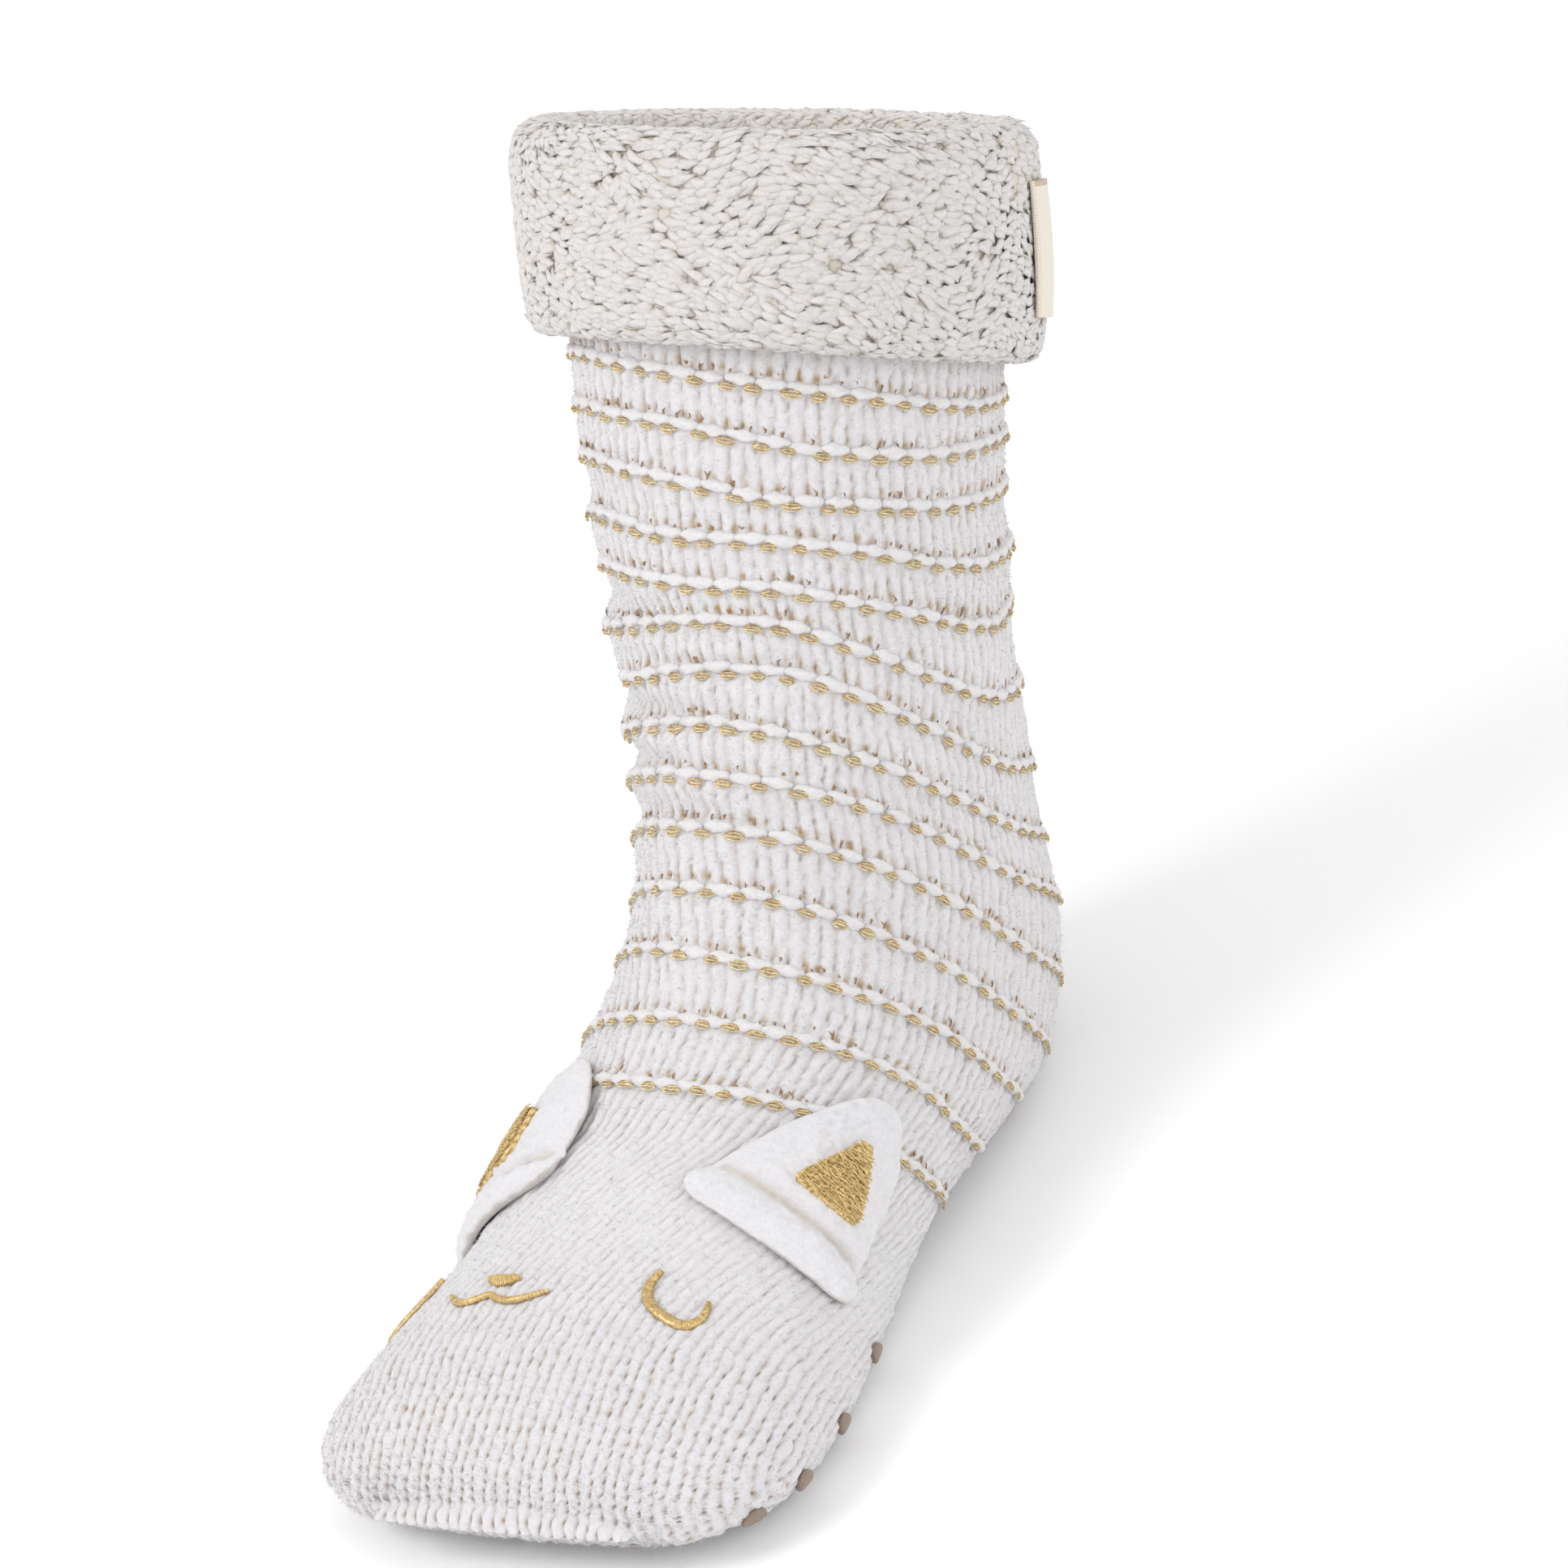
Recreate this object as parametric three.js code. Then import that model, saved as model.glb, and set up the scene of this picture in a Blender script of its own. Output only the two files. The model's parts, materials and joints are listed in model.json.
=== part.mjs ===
import * as THREE from 'three';

// A tall knitted slipper sock standing flat on its gripper sole: one whole knitted upper, a turned down
// fleece cuff, a folded side tape, two plush ears and a small embroidered animal face.
// Millimetres. +Z up, the toe points to -Y, the wearer's left side is +X.

const footLength = 227;
const heelHeight = 104;
const halfWidth = 52;
const heelBack = 44;
const wall = 2.4;
const soleLevel = 1.1;
const gap = 0.3;
const round = 48;

// The last. Each row is one section of the tube, from the rim down the leg and along the foot to the nose.
// top is the point on the shin or instep, low is the point on the calf, heel or sole, run counts from the
// heel's back in foot lengths, rise from the floor in heel heights and width in half widths. widest is the
// share of the section's height where it is broadest, topPower and lowPower round its two halves, crest
// leads the ridge to the wearer's right, aside moves the section to the wearer's left in half widths, cant
// is how steeply it drops to that side and turn is how far the knitting has turned, in degrees.
const last = [
  { at: 'rim', topRun: 0.226, topRise: 2.13, lowRun: -0.162, lowRise: 1.79, width: 0.86, widest: 0.5,
    topPower: 2, lowPower: 2, crest: 0, aside: 0.055, cant: 0.1, turn: 6 },
  { at: 'calf', topRun: 0.273, topRise: 1.79, lowRun: -0.116, lowRise: 1.485, width: 0.85, widest: 0.5,
    topPower: 2, lowPower: 2, crest: 0, aside: 0.03, cant: 0.09, turn: 6 },
  { at: 'shin', topRun: 0.305, topRise: 1.55, lowRun: -0.083, lowRise: 1.26, width: 0.83, widest: 0.5,
    topPower: 2, lowPower: 2, crest: 0, aside: 0, cant: 0.06, turn: 6 },
  { at: 'low shin', topRun: 0.335, topRise: 1.33, lowRun: -0.054, lowRise: 1.06, width: 0.8, widest: 0.5,
    topPower: 2, lowPower: 2, crest: 0, aside: 0, cant: 0.03, turn: 6 },
  { at: 'ankle', topRun: 0.36, topRise: 1.16, lowRun: -0.03, lowRise: 0.885, width: 0.78, widest: 0.5,
    topPower: 2, lowPower: 2, crest: 0, aside: 0, cant: 0.01, turn: 8 },
  { at: 'heel top', topRun: 0.404, topRise: 1, lowRun: 0, lowRise: 0.44, width: 0.72, widest: 0.49,
    topPower: 2, lowPower: 2.1, crest: 0, aside: 0, cant: 0, turn: 9 },
  { at: 'heel', topRun: 0.437, topRise: 0.876, lowRun: 0.033, lowRise: 0.13, width: 0.73, widest: 0.46,
    topPower: 2, lowPower: 2.3, crest: 0, aside: 0, cant: 0, turn: 11 },
  { at: 'heel pad', topRun: 0.483, topRise: 0.752, lowRun: 0.151, lowRise: -0.03, width: 0.76, widest: 0.4,
    topPower: 2, lowPower: 2.6, crest: 0, aside: 0, cant: 0, turn: 14 },
  { at: 'instep', topRun: 0.55, topRise: 0.63, lowRun: 0.307, lowRise: 0, width: 0.8, widest: 0.38,
    topPower: 2, lowPower: 3, crest: -0.01, aside: 0, cant: 0, turn: 18 },
  { at: 'waist', topRun: 0.631, topRise: 0.52, lowRun: 0.462, lowRise: 0.022, width: 0.8, widest: 0.37,
    topPower: 2.1, lowPower: 3.2, crest: -0.03, aside: 0, cant: 0, turn: 12 },
  { at: 'ball', topRun: 0.727, topRise: 0.415, lowRun: 0.622, lowRise: -0.025, width: 0.86, widest: 0.37,
    topPower: 2.2, lowPower: 3.2, crest: -0.04, aside: 0, cant: 0, turn: -8 },
  { at: 'vamp', topRun: 0.828, topRise: 0.352, lowRun: 0.769, lowRise: -0.035, width: 0.97, widest: 0.39,
    topPower: 2.2, lowPower: 3, crest: -0.05, aside: 0, cant: 0, turn: -19 },
  { at: 'toe', topRun: 0.92, topRise: 0.3, lowRun: 0.887, lowRise: -0.015, width: 1, widest: 0.42,
    topPower: 2.3, lowPower: 2.6, crest: -0.05, aside: 0, cant: 0, turn: -16 },
  { at: 'tip', topRun: 0.981, topRise: 0.221, lowRun: 0.956, lowRise: 0.035, width: 0.86, widest: 0.46,
    topPower: 2.4, lowPower: 2.4, crest: -0.04, aside: 0, cant: 0, turn: -12 },
  { at: 'nose', topRun: 1.003, topRise: 0.157, lowRun: 0.991, lowRise: 0.085, width: 0.56, widest: 0.5,
    topPower: 2.2, lowPower: 2.2, crest: -0.03, aside: 0, cant: 0, turn: -8 },
];
const toeEnd = last.length - 1;

// One value of the last at a place between its rows, on a smooth curve through them.
const along = (column, place) => {
  const row = Math.min(Math.max(Math.floor(place), 0), toeEnd - 1);
  const part = place - row;
  const near = last[row][column];
  const next = last[row + 1][column];
  const before = row > 0 ? last[row - 1][column] : 2 * near - next;
  const after = row + 2 <= toeEnd ? last[row + 2][column] : 2 * next - near;
  return 0.5 * (2 * near + (next - before) * part
    + (2 * before - 5 * near + 4 * next - after) * part * part
    + (3 * near - before - 3 * next + after) * part * part * part);
};

// The outer face of the knitting. The angle goes round from the top or front, towards the wearer's left.
const skin = (place, angle) => {
  const up = Math.cos(angle);
  const side = Math.sin(angle);
  const middle = 2 * along('widest', place) - 1;
  const power = up >= 0 ? along('topPower', place) : along('lowPower', place);
  const climb = Math.abs(up) ** (2 / power);
  const reach = Math.abs(side) ** (2 / power);
  const share = up >= 0 ? middle + (1 - middle) * climb : middle - (1 + middle) * climb;
  const topRun = along('topRun', place) * footLength;
  const lowRun = along('lowRun', place) * footLength;
  const topRise = along('topRise', place) * heelHeight;
  const lowRise = along('lowRise', place) * heelHeight;
  const lead = along('crest', place) * halfWidth * Math.max(0, (share + 1) / 2);
  const run = (topRun + lowRun) / 2 + (topRun - lowRun) / 2 * share;
  const rise = (topRise + lowRise) / 2 + (topRise - lowRise) / 2 * share;
  const across = along('width', place) * halfWidth * Math.sign(side) * reach + lead;
  return new THREE.Vector3(
    across + along('aside', place) * halfWidth,
    heelBack - run,
    Math.max(rise, soleLevel) - along('cant', place) * across,
  );
};

const outward = (place, angle) => {
  const step = 0.02;
  const down = skin(place + step, angle).sub(skin(place - step, angle));
  const around = skin(place, angle + step).sub(skin(place, angle - step));
  return around.cross(down).normalize().negate();
};

const lifted = (place, angle, height) => skin(place, angle).addScaledVector(outward(place, angle), height);

// A closed solid from rings of points. An end is a pole point that closes it, or absent when the last ring
// runs back into the first.
const solid = (rings, firstPole, lastPole) => {
  const corners = [];
  const faces = [];
  const size = rings[0].length;
  rings.forEach((ring) => ring.forEach((point) => corners.push(point.x, point.y, point.z)));
  const joins = firstPole ? rings.length - 1 : rings.length;
  for (let ring = 0; ring < joins; ring += 1) {
    const nextRing = (ring + 1) % rings.length;
    for (let spot = 0; spot < size; spot += 1) {
      const beside = (spot + 1) % size;
      const a = ring * size + spot;
      const b = ring * size + beside;
      const c = nextRing * size + beside;
      const d = nextRing * size + spot;
      faces.push(a, b, c, a, c, d);
    }
  }
  if (firstPole) {
    corners.push(firstPole.x, firstPole.y, firstPole.z, lastPole.x, lastPole.y, lastPole.z);
    const pole = rings.length * size;
    const end = (rings.length - 1) * size;
    for (let spot = 0; spot < size; spot += 1) {
      const beside = (spot + 1) % size;
      faces.push(pole, beside, spot, pole + 1, end + spot, end + beside);
    }
  }
  const geometry = new THREE.BufferGeometry();
  geometry.setAttribute('position', new THREE.Float32BufferAttribute(corners, 3));
  geometry.setIndex(faces);
  let volume = 0;
  const at = (index) => new THREE.Vector3().fromArray(corners, index * 3);
  for (let face = 0; face < faces.length; face += 3) {
    volume += at(faces[face]).dot(at(faces[face + 1]).cross(at(faces[face + 2])));
  }
  if (volume < 0) {
    faces.reverse();
    geometry.setIndex(faces);
  }
  geometry.computeVertexNormals();
  return geometry;
};

const middleOf = (ring) => {
  const sum = new THREE.Vector3();
  ring.forEach((point) => sum.add(point));
  return sum.divideScalar(ring.length);
};

const part = new THREE.Group();
part.name = 'slipper_sock';

const add = (name, geometry, color, roughness, metalness) => {
  const mesh = new THREE.Mesh(geometry, new THREE.MeshStandardMaterial({ color, roughness, metalness }));
  mesh.name = name;
  part.add(mesh);
};

// Upper: leg, heel, foot and toe knitted in one, an even wall, open at the rim.
const angles = Array.from({ length: round }, (_, spot) => spot / round * 2 * Math.PI);
const ringAt = (place, height) => angles.map((angle) => lifted(place, angle, height));
const outerPlaces = [0, 0.6, 1.2, 1.8, 2.4, 3, 3.5, 4, 4.4, 4.8, 5.1, 5.4, 5.7, 6, 6.3, 6.6, 6.9, 7.2, 7.5,
  7.8, 8.1, 8.4, 8.7, 9, 9.25, 9.5, 9.75, 10, 10.3, 10.6, 10.9, 11.2, 11.5, 12, 12.4, 12.8, 13.2, 13.6, 14];
const innerPlaces = [0, 0.8, 1.6, 2.4, 3.2, 4, 4.5, 5, 5.4, 5.8, 6.2, 6.6, 7, 7.5, 8, 8.6, 9.2, 10, 10.8, 11.6,
  12.2, 12.7, 13.2, 13.6];
const outerRings = outerPlaces.map((place) => ringAt(place, 0));
const innerRings = innerPlaces.map((place) => ringAt(place, -wall));
const toePole = middleOf(outerRings[outerRings.length - 1]).add(new THREE.Vector3(0, -2, 0));
const innerPole = middleOf(innerRings[innerRings.length - 1]);
innerPole.y = toePole.y + wall + 1;
add('upper', solid([...innerRings.reverse(), ...outerRings], innerPole, toePole), 0xe2e0e2, 0.95, 0);

// Cuff: a fleece band folded over the rim, cut from the upper's own sections. down counts from the rim
// along the leg and out is the height over the knitting, both in millimetres. It is turned down unevenly,
// so down is stretched or shortened round the leg, and the hem hangs lowest at the angle cuffLowest.
const cuffOutline = [
  { down: 46.5, out: 2.6 }, { down: 44, out: gap }, { down: 24, out: gap }, { down: 4, out: gap },
  { down: -gap, out: gap }, { down: -gap, out: -wall - gap }, { down: 5, out: -wall - gap },
  { down: 16, out: -wall - gap }, { down: 17.5, out: -wall - 1.8 }, { down: 16, out: -wall - 3.6 },
  { down: 5, out: -wall - 3.9 }, { down: -2.6, out: -wall - 2.8 }, { down: -5.2, out: 0 },
  { down: -5.4, out: 3.4 }, { down: -3, out: 6.8 }, { down: 3, out: 8.4 }, { down: 18, out: 8.6 },
  { down: 34, out: 8.4 }, { down: 42, out: 7.6 }, { down: 46.4, out: 5.2 },
];
const rimAxis = middleOf(ringAt(0, 0)).sub(middleOf(ringAt(0.5, 0))).normalize();
const rowLength = middleOf(ringAt(0, 0)).distanceTo(middleOf(ringAt(1, 0)));
const cuffHang = 0.97;
const cuffSkew = 0.135;
const cuffLowest = 2.9;
const cuffPoint = (angle, down, out) => {
  const hang = cuffHang + cuffSkew * Math.cos(angle - cuffLowest);
  const point = lifted(Math.max(down, 0) * hang / rowLength, angle, out);
  return point.addScaledVector(rimAxis, Math.max(-down, 0));
};
const cuffRings = cuffOutline.map(({ down, out }) => {
  const lump = (angle) => (out > 5 ? 0.35 * Math.sin(7 * angle + down) + 0.25 * Math.sin(13 * angle - down) : 0);
  return angles.map((angle) => cuffPoint(angle, down, out + lump(angle)));
});
add('cuff', solid(cuffRings), 0xe4e1df, 1, 0);

// Side tape: a folded woven loop hanging on the wearer's left of the cuff, with a bare face.
const tapeTurn = 1.86;
const tapeWidth = 13;
const tapeTop = 6;
const tapeDrop = 29;
const tapeThick = 1.1;
const tapeOut = 9;
const tapeRings = [0, 0.2, 0.4, 0.6, 0.8, 1].map((share) => {
  const down = tapeTop + share * tapeDrop;
  const base = cuffPoint(tapeTurn, down, tapeOut);
  const out = cuffPoint(tapeTurn, down, tapeOut + 1).sub(base).normalize();
  const ahead = cuffPoint(tapeTurn - 0.05, down, tapeOut).sub(base);
  ahead.addScaledVector(out, -ahead.dot(out)).normalize();
  const puff = 0.5 * Math.sin(Math.PI * share);
  const spot = (sideways, height) => base.clone().addScaledVector(ahead, sideways).addScaledVector(out, height);
  return [spot(-tapeWidth / 2, 0), spot(tapeWidth / 2, 0), spot(tapeWidth / 2, tapeThick + puff),
    spot(0, tapeThick + puff + 0.15), spot(-tapeWidth / 2, tapeThick + puff)];
});
add('tape', solid(tapeRings, middleOf(tapeRings[0]), middleOf(tapeRings[5])), 0xe9e2d6, 0.8, 0);

// The knitting's own angle for a spot on the face, turned with the wales.
const faceAngle = (place, degrees) => THREE.MathUtils.degToRad(degrees + along('turn', place));

// A padded shape on the skin from an edge of places and angles, each ring drawn in towards the middle.
const pad = (edge, middle, profile, side) => {
  const ring = (share, height) => edge.map((spot) => {
    const place = middle.place + (spot.place - middle.place) * share;
    const degrees = middle.degrees + (spot.degrees - middle.degrees) * share;
    return lifted(place, faceAngle(place, side * degrees), height(place, degrees));
  });
  const rings = profile.map(({ share, height }) => ring(share, height));
  const pole = ({ height }) => lifted(
    middle.place,
    faceAngle(middle.place, side * middle.degrees),
    height(middle.place, middle.degrees),
  );
  return solid(rings, pole(profile[0]), pole(profile[profile.length - 1]));
};

// Ears: a plump triangle lying back on the instep, with a roll along its base. The base runs from the
// inner to the outer corner and the tip points up the leg; edge is in shares of base and of height.
const earInner = { place: 9.76, degrees: 22 };
const earOuter = { place: 10.3, degrees: 87 };
const earTip = { place: 8.5, degrees: 48 };
const earThick = 4;
const earGap = 0.8;
const rollShare = 0.2;
const earEdge = [
  { base: 0.25, height: -0.03 }, { base: 0.5, height: -0.04 }, { base: 0.75, height: -0.03 },
  { base: 0.97, height: 0 }, { base: 1.03, height: 0.07 }, { base: 0.99, height: 0.18 },
  { base: 0.94, height: 0.32 }, { base: 0.87, height: 0.5 }, { base: 0.78, height: 0.68 },
  { base: 0.68, height: 0.85 }, { base: 0.6, height: 0.95 }, { base: 0.5, height: 1 },
  { base: 0.4, height: 0.95 }, { base: 0.32, height: 0.85 }, { base: 0.22, height: 0.68 },
  { base: 0.13, height: 0.5 }, { base: 0.06, height: 0.32 }, { base: 0.01, height: 0.18 },
  { base: -0.03, height: 0.07 }, { base: 0.03, height: 0 },
];
const earSpot = (base, height) => {
  const foot = (name) => earInner[name] + (earOuter[name] - earInner[name]) * base;
  const centre = (name) => (earInner[name] + earOuter[name]) / 2;
  return {
    place: foot('place') + (earTip.place - centre('place')) * height,
    degrees: foot('degrees') + (earTip.degrees - centre('degrees')) * height,
  };
};
const groove = (height) => (Math.abs(height - rollShare) < 0.06 ? 0.62 : 1);
const earRings = (side, shares) => {
  const centre = { base: 0.5, height: 0.36 };
  return shares.map(({ share, lift }) => earEdge.map((spot) => {
    const base = centre.base + (spot.base - centre.base) * share;
    const height = centre.height + (spot.height - centre.height) * share;
    const { place, degrees } = earSpot(base, height);
    const rise = earGap + (lift > 0.3 ? lift * groove(height) : lift) * earThick;
    return lifted(place, faceAngle(place, side * degrees), rise);
  }));
};
const earProfile = [
  { share: 0.2, lift: 0 }, { share: 0.4, lift: 0 }, { share: 0.6, lift: 0 }, { share: 0.78, lift: 0 },
  { share: 0.93, lift: 0.04 }, { share: 1, lift: 0.4 }, { share: 0.95, lift: 0.78 }, { share: 0.85, lift: 0.98 },
  { share: 0.62, lift: 1 }, { share: 0.3, lift: 1 },
];
const earCentre = (side, height) => {
  const { place, degrees } = earSpot(0.5, 0.36);
  return lifted(place, faceAngle(place, side * degrees), height);
};
[['ear_left', 1], ['ear_right', -1]].forEach(([name, side]) => {
  add(name, solid(earRings(side, earProfile), earCentre(side, earGap), earCentre(side, earGap + earThick)),
    0xe9e8ea, 0.95, 0);
});

// Embroidered triangle in each ear.
const stitchGap = 0.5;
const stitchThick = 0.9;
const triangle = [[0.4, 0.3], [0.56, 0.29], [0.72, 0.3], [0.76, 0.34], [0.7, 0.44], [0.62, 0.55], [0.54, 0.65],
  [0.48, 0.65], [0.44, 0.55], [0.4, 0.44], [0.37, 0.34]];
[['ear_stitch_left', 1], ['ear_stitch_right', -1]].forEach(([name, side]) => {
  const edge = (share, height) => triangle.map(([base, tall]) => {
    const { place, degrees } = earSpot(0.53 + (base - 0.53) * share, 0.42 + (tall - 0.42) * share);
    return lifted(place, faceAngle(place, side * degrees), height);
  });
  const under = earGap + earThick + stitchGap;
  const rings = [edge(0.6, under), edge(1, under), edge(1, under + 0.5), edge(0.8, under + stitchThick)];
  const centre = earSpot(0.53, 0.42);
  const pole = (height) => lifted(centre.place, faceAngle(centre.place, side * centre.degrees), height);
  add(name, solid(rings, pole(under), pole(under + stitchThick)), 0xb08a4e, 0.5, 0.4);
});

// Embroidered strokes: a raised satin band along a path of places and knitting angles.
const strokeRings = (path, side) => path.map((spot, index) => {
  const before = path[Math.max(index - 1, 0)];
  const after = path[Math.min(index + 1, path.length - 1)];
  const point = (from, height) => lifted(from.place, faceAngle(from.place, side * from.degrees), height);
  const ahead = point(after, 0).sub(point(before, 0)).normalize();
  const base = point(spot, gap);
  const out = point(spot, 1).sub(point(spot, 0)).normalize();
  const across = ahead.clone().cross(out).normalize();
  const put = (sideways, height) => base.clone().addScaledVector(across, sideways).addScaledVector(out, height);
  const half = spot.width / 2;
  return [put(-half, 0.05), put(half, 0.05), put(half, 0.45), put(0, stitchThick), put(-half, 0.45)];
});
const stroke = (path, side) => {
  const rings = strokeRings(path, side);
  return solid(rings, middleOf(rings[0]), middleOf(rings[rings.length - 1]));
};
const eyePath = [
  { place: 10.53, degrees: 35.3, width: 1.3 }, { place: 10.68, degrees: 35.5, width: 2 },
  { place: 10.82, degrees: 37.5, width: 2.3 }, { place: 10.94, degrees: 41.6, width: 2.3 },
  { place: 11.02, degrees: 47, width: 2.3 }, { place: 11.02, degrees: 51, width: 2.2 },
  { place: 10.9, degrees: 53.5, width: 1.8 }, { place: 10.74, degrees: 52.5, width: 1.2 },
];
add('eye_left', stroke(eyePath, 1), 0xb08a4e, 0.5, 0.4);
add('eye_right', stroke(eyePath, -1), 0xb08a4e, 0.5, 0.4);
const noseEdge = Array.from({ length: 12 }, (_, spot) => {
  const angle = spot / 12 * 2 * Math.PI;
  return { place: 10.74 - 0.07 * Math.cos(angle), degrees: 5 * Math.sin(angle) };
});
const noseProfile = [
  { share: 0.5, height: () => gap }, { share: 1, height: () => gap }, { share: 1, height: () => gap + 0.6 },
  { share: 0.6, height: () => gap + 1.1 },
];
add('nose', pad(noseEdge, { place: 10.74, degrees: 0 }, noseProfile, 1), 0xb08a4e, 0.5, 0.4);
const mouthPath = [
  { place: 10.85, degrees: -15, width: 0.9 }, { place: 10.93, degrees: -11, width: 1.5 },
  { place: 10.97, degrees: -7, width: 1.6 }, { place: 10.94, degrees: -3, width: 1.5 },
  { place: 10.9, degrees: 0, width: 1.4 }, { place: 10.94, degrees: 3, width: 1.5 },
  { place: 10.97, degrees: 7, width: 1.6 }, { place: 10.93, degrees: 11, width: 1.5 },
  { place: 10.85, degrees: 15, width: 0.9 },
];
add('mouth', stroke(mouthPath, 1), 0xb08a4e, 0.5, 0.4);

// Gripper dots: low rubber studs under the heel and the forefoot, the flat ones standing on the floor, and
// a few round the edge of the toe. run counts from the heel's back in foot lengths, across is in millimetres.
const dotRadius = 2.6;
const dotThick = 0.8;
const dotSides = 8;
const dotRows = [
  { run: 0.12, across: [-9, 9] }, { run: heelBack / footLength, across: [-18, 0, 18] },
  { run: 0.26, across: [-27, -9, 9, 27] },
  { run: 0.62, across: [-27, -9, 9, 27] }, { run: 0.69, across: [-36, -18, 0, 18, 36] },
  { run: 0.76, across: [-27, -9, 9, 27] }, { run: 0.83, across: [-36, -18, 0, 18, 36] },
  { run: 0.9, across: [-27, -9, 9, 27] },
];
const edgeDots = [
  { place: 10.3, left: 105, right: 118 }, { place: 11.05, left: 104, right: 104 },
  { place: 11.8, left: 104, right: 104 }, { place: 12.55, left: 106, right: 106 },
  { place: 13.45, left: 140, right: 140 },
];
const halving = (low, high, tooLow) => {
  let below = low;
  let above = high;
  for (let turn = 0; turn < 30; turn += 1) {
    const centre = (below + above) / 2;
    if (tooLow(centre)) below = centre;
    else above = centre;
  }
  return (below + above) / 2;
};
const dotSpots = [];
dotRows.forEach(({ run, across }) => {
  const place = halving(5, toeEnd, (trial) => along('lowRun', trial) < run);
  across.forEach((aside) => {
    const angle = halving(Math.PI / 2, Math.PI * 1.5, (trial) => skin(place, trial).x > aside);
    dotSpots.push({ place, angle });
  });
});
edgeDots.forEach(({ place, left, right }) => {
  dotSpots.push({ place, angle: THREE.MathUtils.degToRad(left) });
  dotSpots.push({ place, angle: -THREE.MathUtils.degToRad(right) });
});
dotSpots.forEach(({ place, angle }, number) => {
  const perPlace = skin(place + 0.05, angle).distanceTo(skin(place - 0.05, angle)) / 0.1;
  const perAngle = skin(place, angle + 0.03).distanceTo(skin(place, angle - 0.03)) / 0.06;
  const ring = (radius, height) => Array.from({ length: dotSides }, (_, spot) => {
    const around = spot / dotSides * 2 * Math.PI;
    const ahead = radius * Math.cos(around) / perPlace;
    const aside = radius * Math.sin(around) / perAngle;
    return lifted(place + ahead, angle + aside, height);
  });
  const rings = [ring(dotRadius, gap), ring(dotRadius, gap + dotThick / 2), ring(dotRadius * 0.75, gap + dotThick)];
  const dot = solid(rings, lifted(place, angle, gap), lifted(place, angle, gap + dotThick));
  add(`grip_${String(number + 1).padStart(2, '0')}`, dot, 0x8b7768, 0.6, 0);
});

export default part;
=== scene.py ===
import json
import math
import bpy
import numpy as np
from mathutils import Matrix, Vector

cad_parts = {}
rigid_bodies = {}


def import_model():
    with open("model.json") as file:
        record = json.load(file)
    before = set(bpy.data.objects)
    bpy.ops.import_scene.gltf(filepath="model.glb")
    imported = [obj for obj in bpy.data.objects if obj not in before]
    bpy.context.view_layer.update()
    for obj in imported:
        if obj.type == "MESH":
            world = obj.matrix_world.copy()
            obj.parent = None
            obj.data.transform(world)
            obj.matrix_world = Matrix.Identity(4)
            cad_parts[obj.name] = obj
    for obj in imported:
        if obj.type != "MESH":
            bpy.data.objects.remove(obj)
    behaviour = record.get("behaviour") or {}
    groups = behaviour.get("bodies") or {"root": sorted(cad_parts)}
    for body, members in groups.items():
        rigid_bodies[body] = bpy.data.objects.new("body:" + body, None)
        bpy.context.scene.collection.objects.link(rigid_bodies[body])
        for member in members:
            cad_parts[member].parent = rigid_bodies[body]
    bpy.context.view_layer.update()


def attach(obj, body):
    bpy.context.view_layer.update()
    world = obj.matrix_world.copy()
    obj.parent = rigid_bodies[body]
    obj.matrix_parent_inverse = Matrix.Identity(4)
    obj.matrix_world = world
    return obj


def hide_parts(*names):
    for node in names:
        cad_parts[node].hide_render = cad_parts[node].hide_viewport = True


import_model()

# Camera. The photo looks down on the front left of the sock through a long lens, with the picture rolled
# so that the leg stands nearly upright in it. Distances are metres, angles degrees.
view_turn = math.radians(34)
view_height = math.radians(25.5)
view_roll = math.radians(-16)
view_distance = 1.092
view_target = Vector((0.013, -0.040, 0.0953))
back = Vector((math.sin(view_turn) * math.cos(view_height),
               -math.cos(view_turn) * math.cos(view_height),
               math.sin(view_height)))
level_right = back.cross(Vector((0, 0, -1))).normalized()
level_up = back.cross(level_right)
right = math.cos(view_roll) * level_right + math.sin(view_roll) * level_up
up = math.cos(view_roll) * level_up - math.sin(view_roll) * level_right
camera = bpy.data.objects.new("camera", bpy.data.cameras.new("camera"))
bpy.context.scene.collection.objects.link(camera)
camera.data.sensor_width = 36
camera.data.lens = 6566 / 1932 * 36
camera.data.clip_end = 20
seat = view_target + back * view_distance
camera.matrix_world = Matrix(((right.x, up.x, back.x, seat.x), (right.y, up.y, back.y, seat.y),
                              (right.z, up.z, back.z, seat.z), (0, 0, 0, 1)))
bpy.context.scene.camera = camera


# Floor. A plain white studio floor, matt card, wide enough to fill every view.
def linear(code):
    channels = [int(code[i:i + 2], 16) / 255 for i in (1, 3, 5)]
    return tuple(c / 12.92 if c <= 0.04045 else ((c + 0.055) / 1.055) ** 2.4 for c in channels) + (1.0,)


def node(tree, kind, settings=(), **sockets):
    made = tree.nodes.new(kind)
    for name, value in dict(settings).items():
        setattr(made, name, value)
    for name, value in sockets.items():
        socket = made.inputs[int(name[1:]) if name[1:].isdigit() else name.replace("_", " ")]
        if isinstance(value, bpy.types.NodeSocket):
            tree.links.new(value, socket)
        else:
            socket.default_value = value
    return made


def new_material(name):
    made = bpy.data.materials.new(name)
    made.use_nodes = True
    made.node_tree.nodes.clear()
    return made, made.node_tree


def finish_material(tree, shader):
    node(tree, "ShaderNodeOutputMaterial", Surface=shader.outputs[0])


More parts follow.
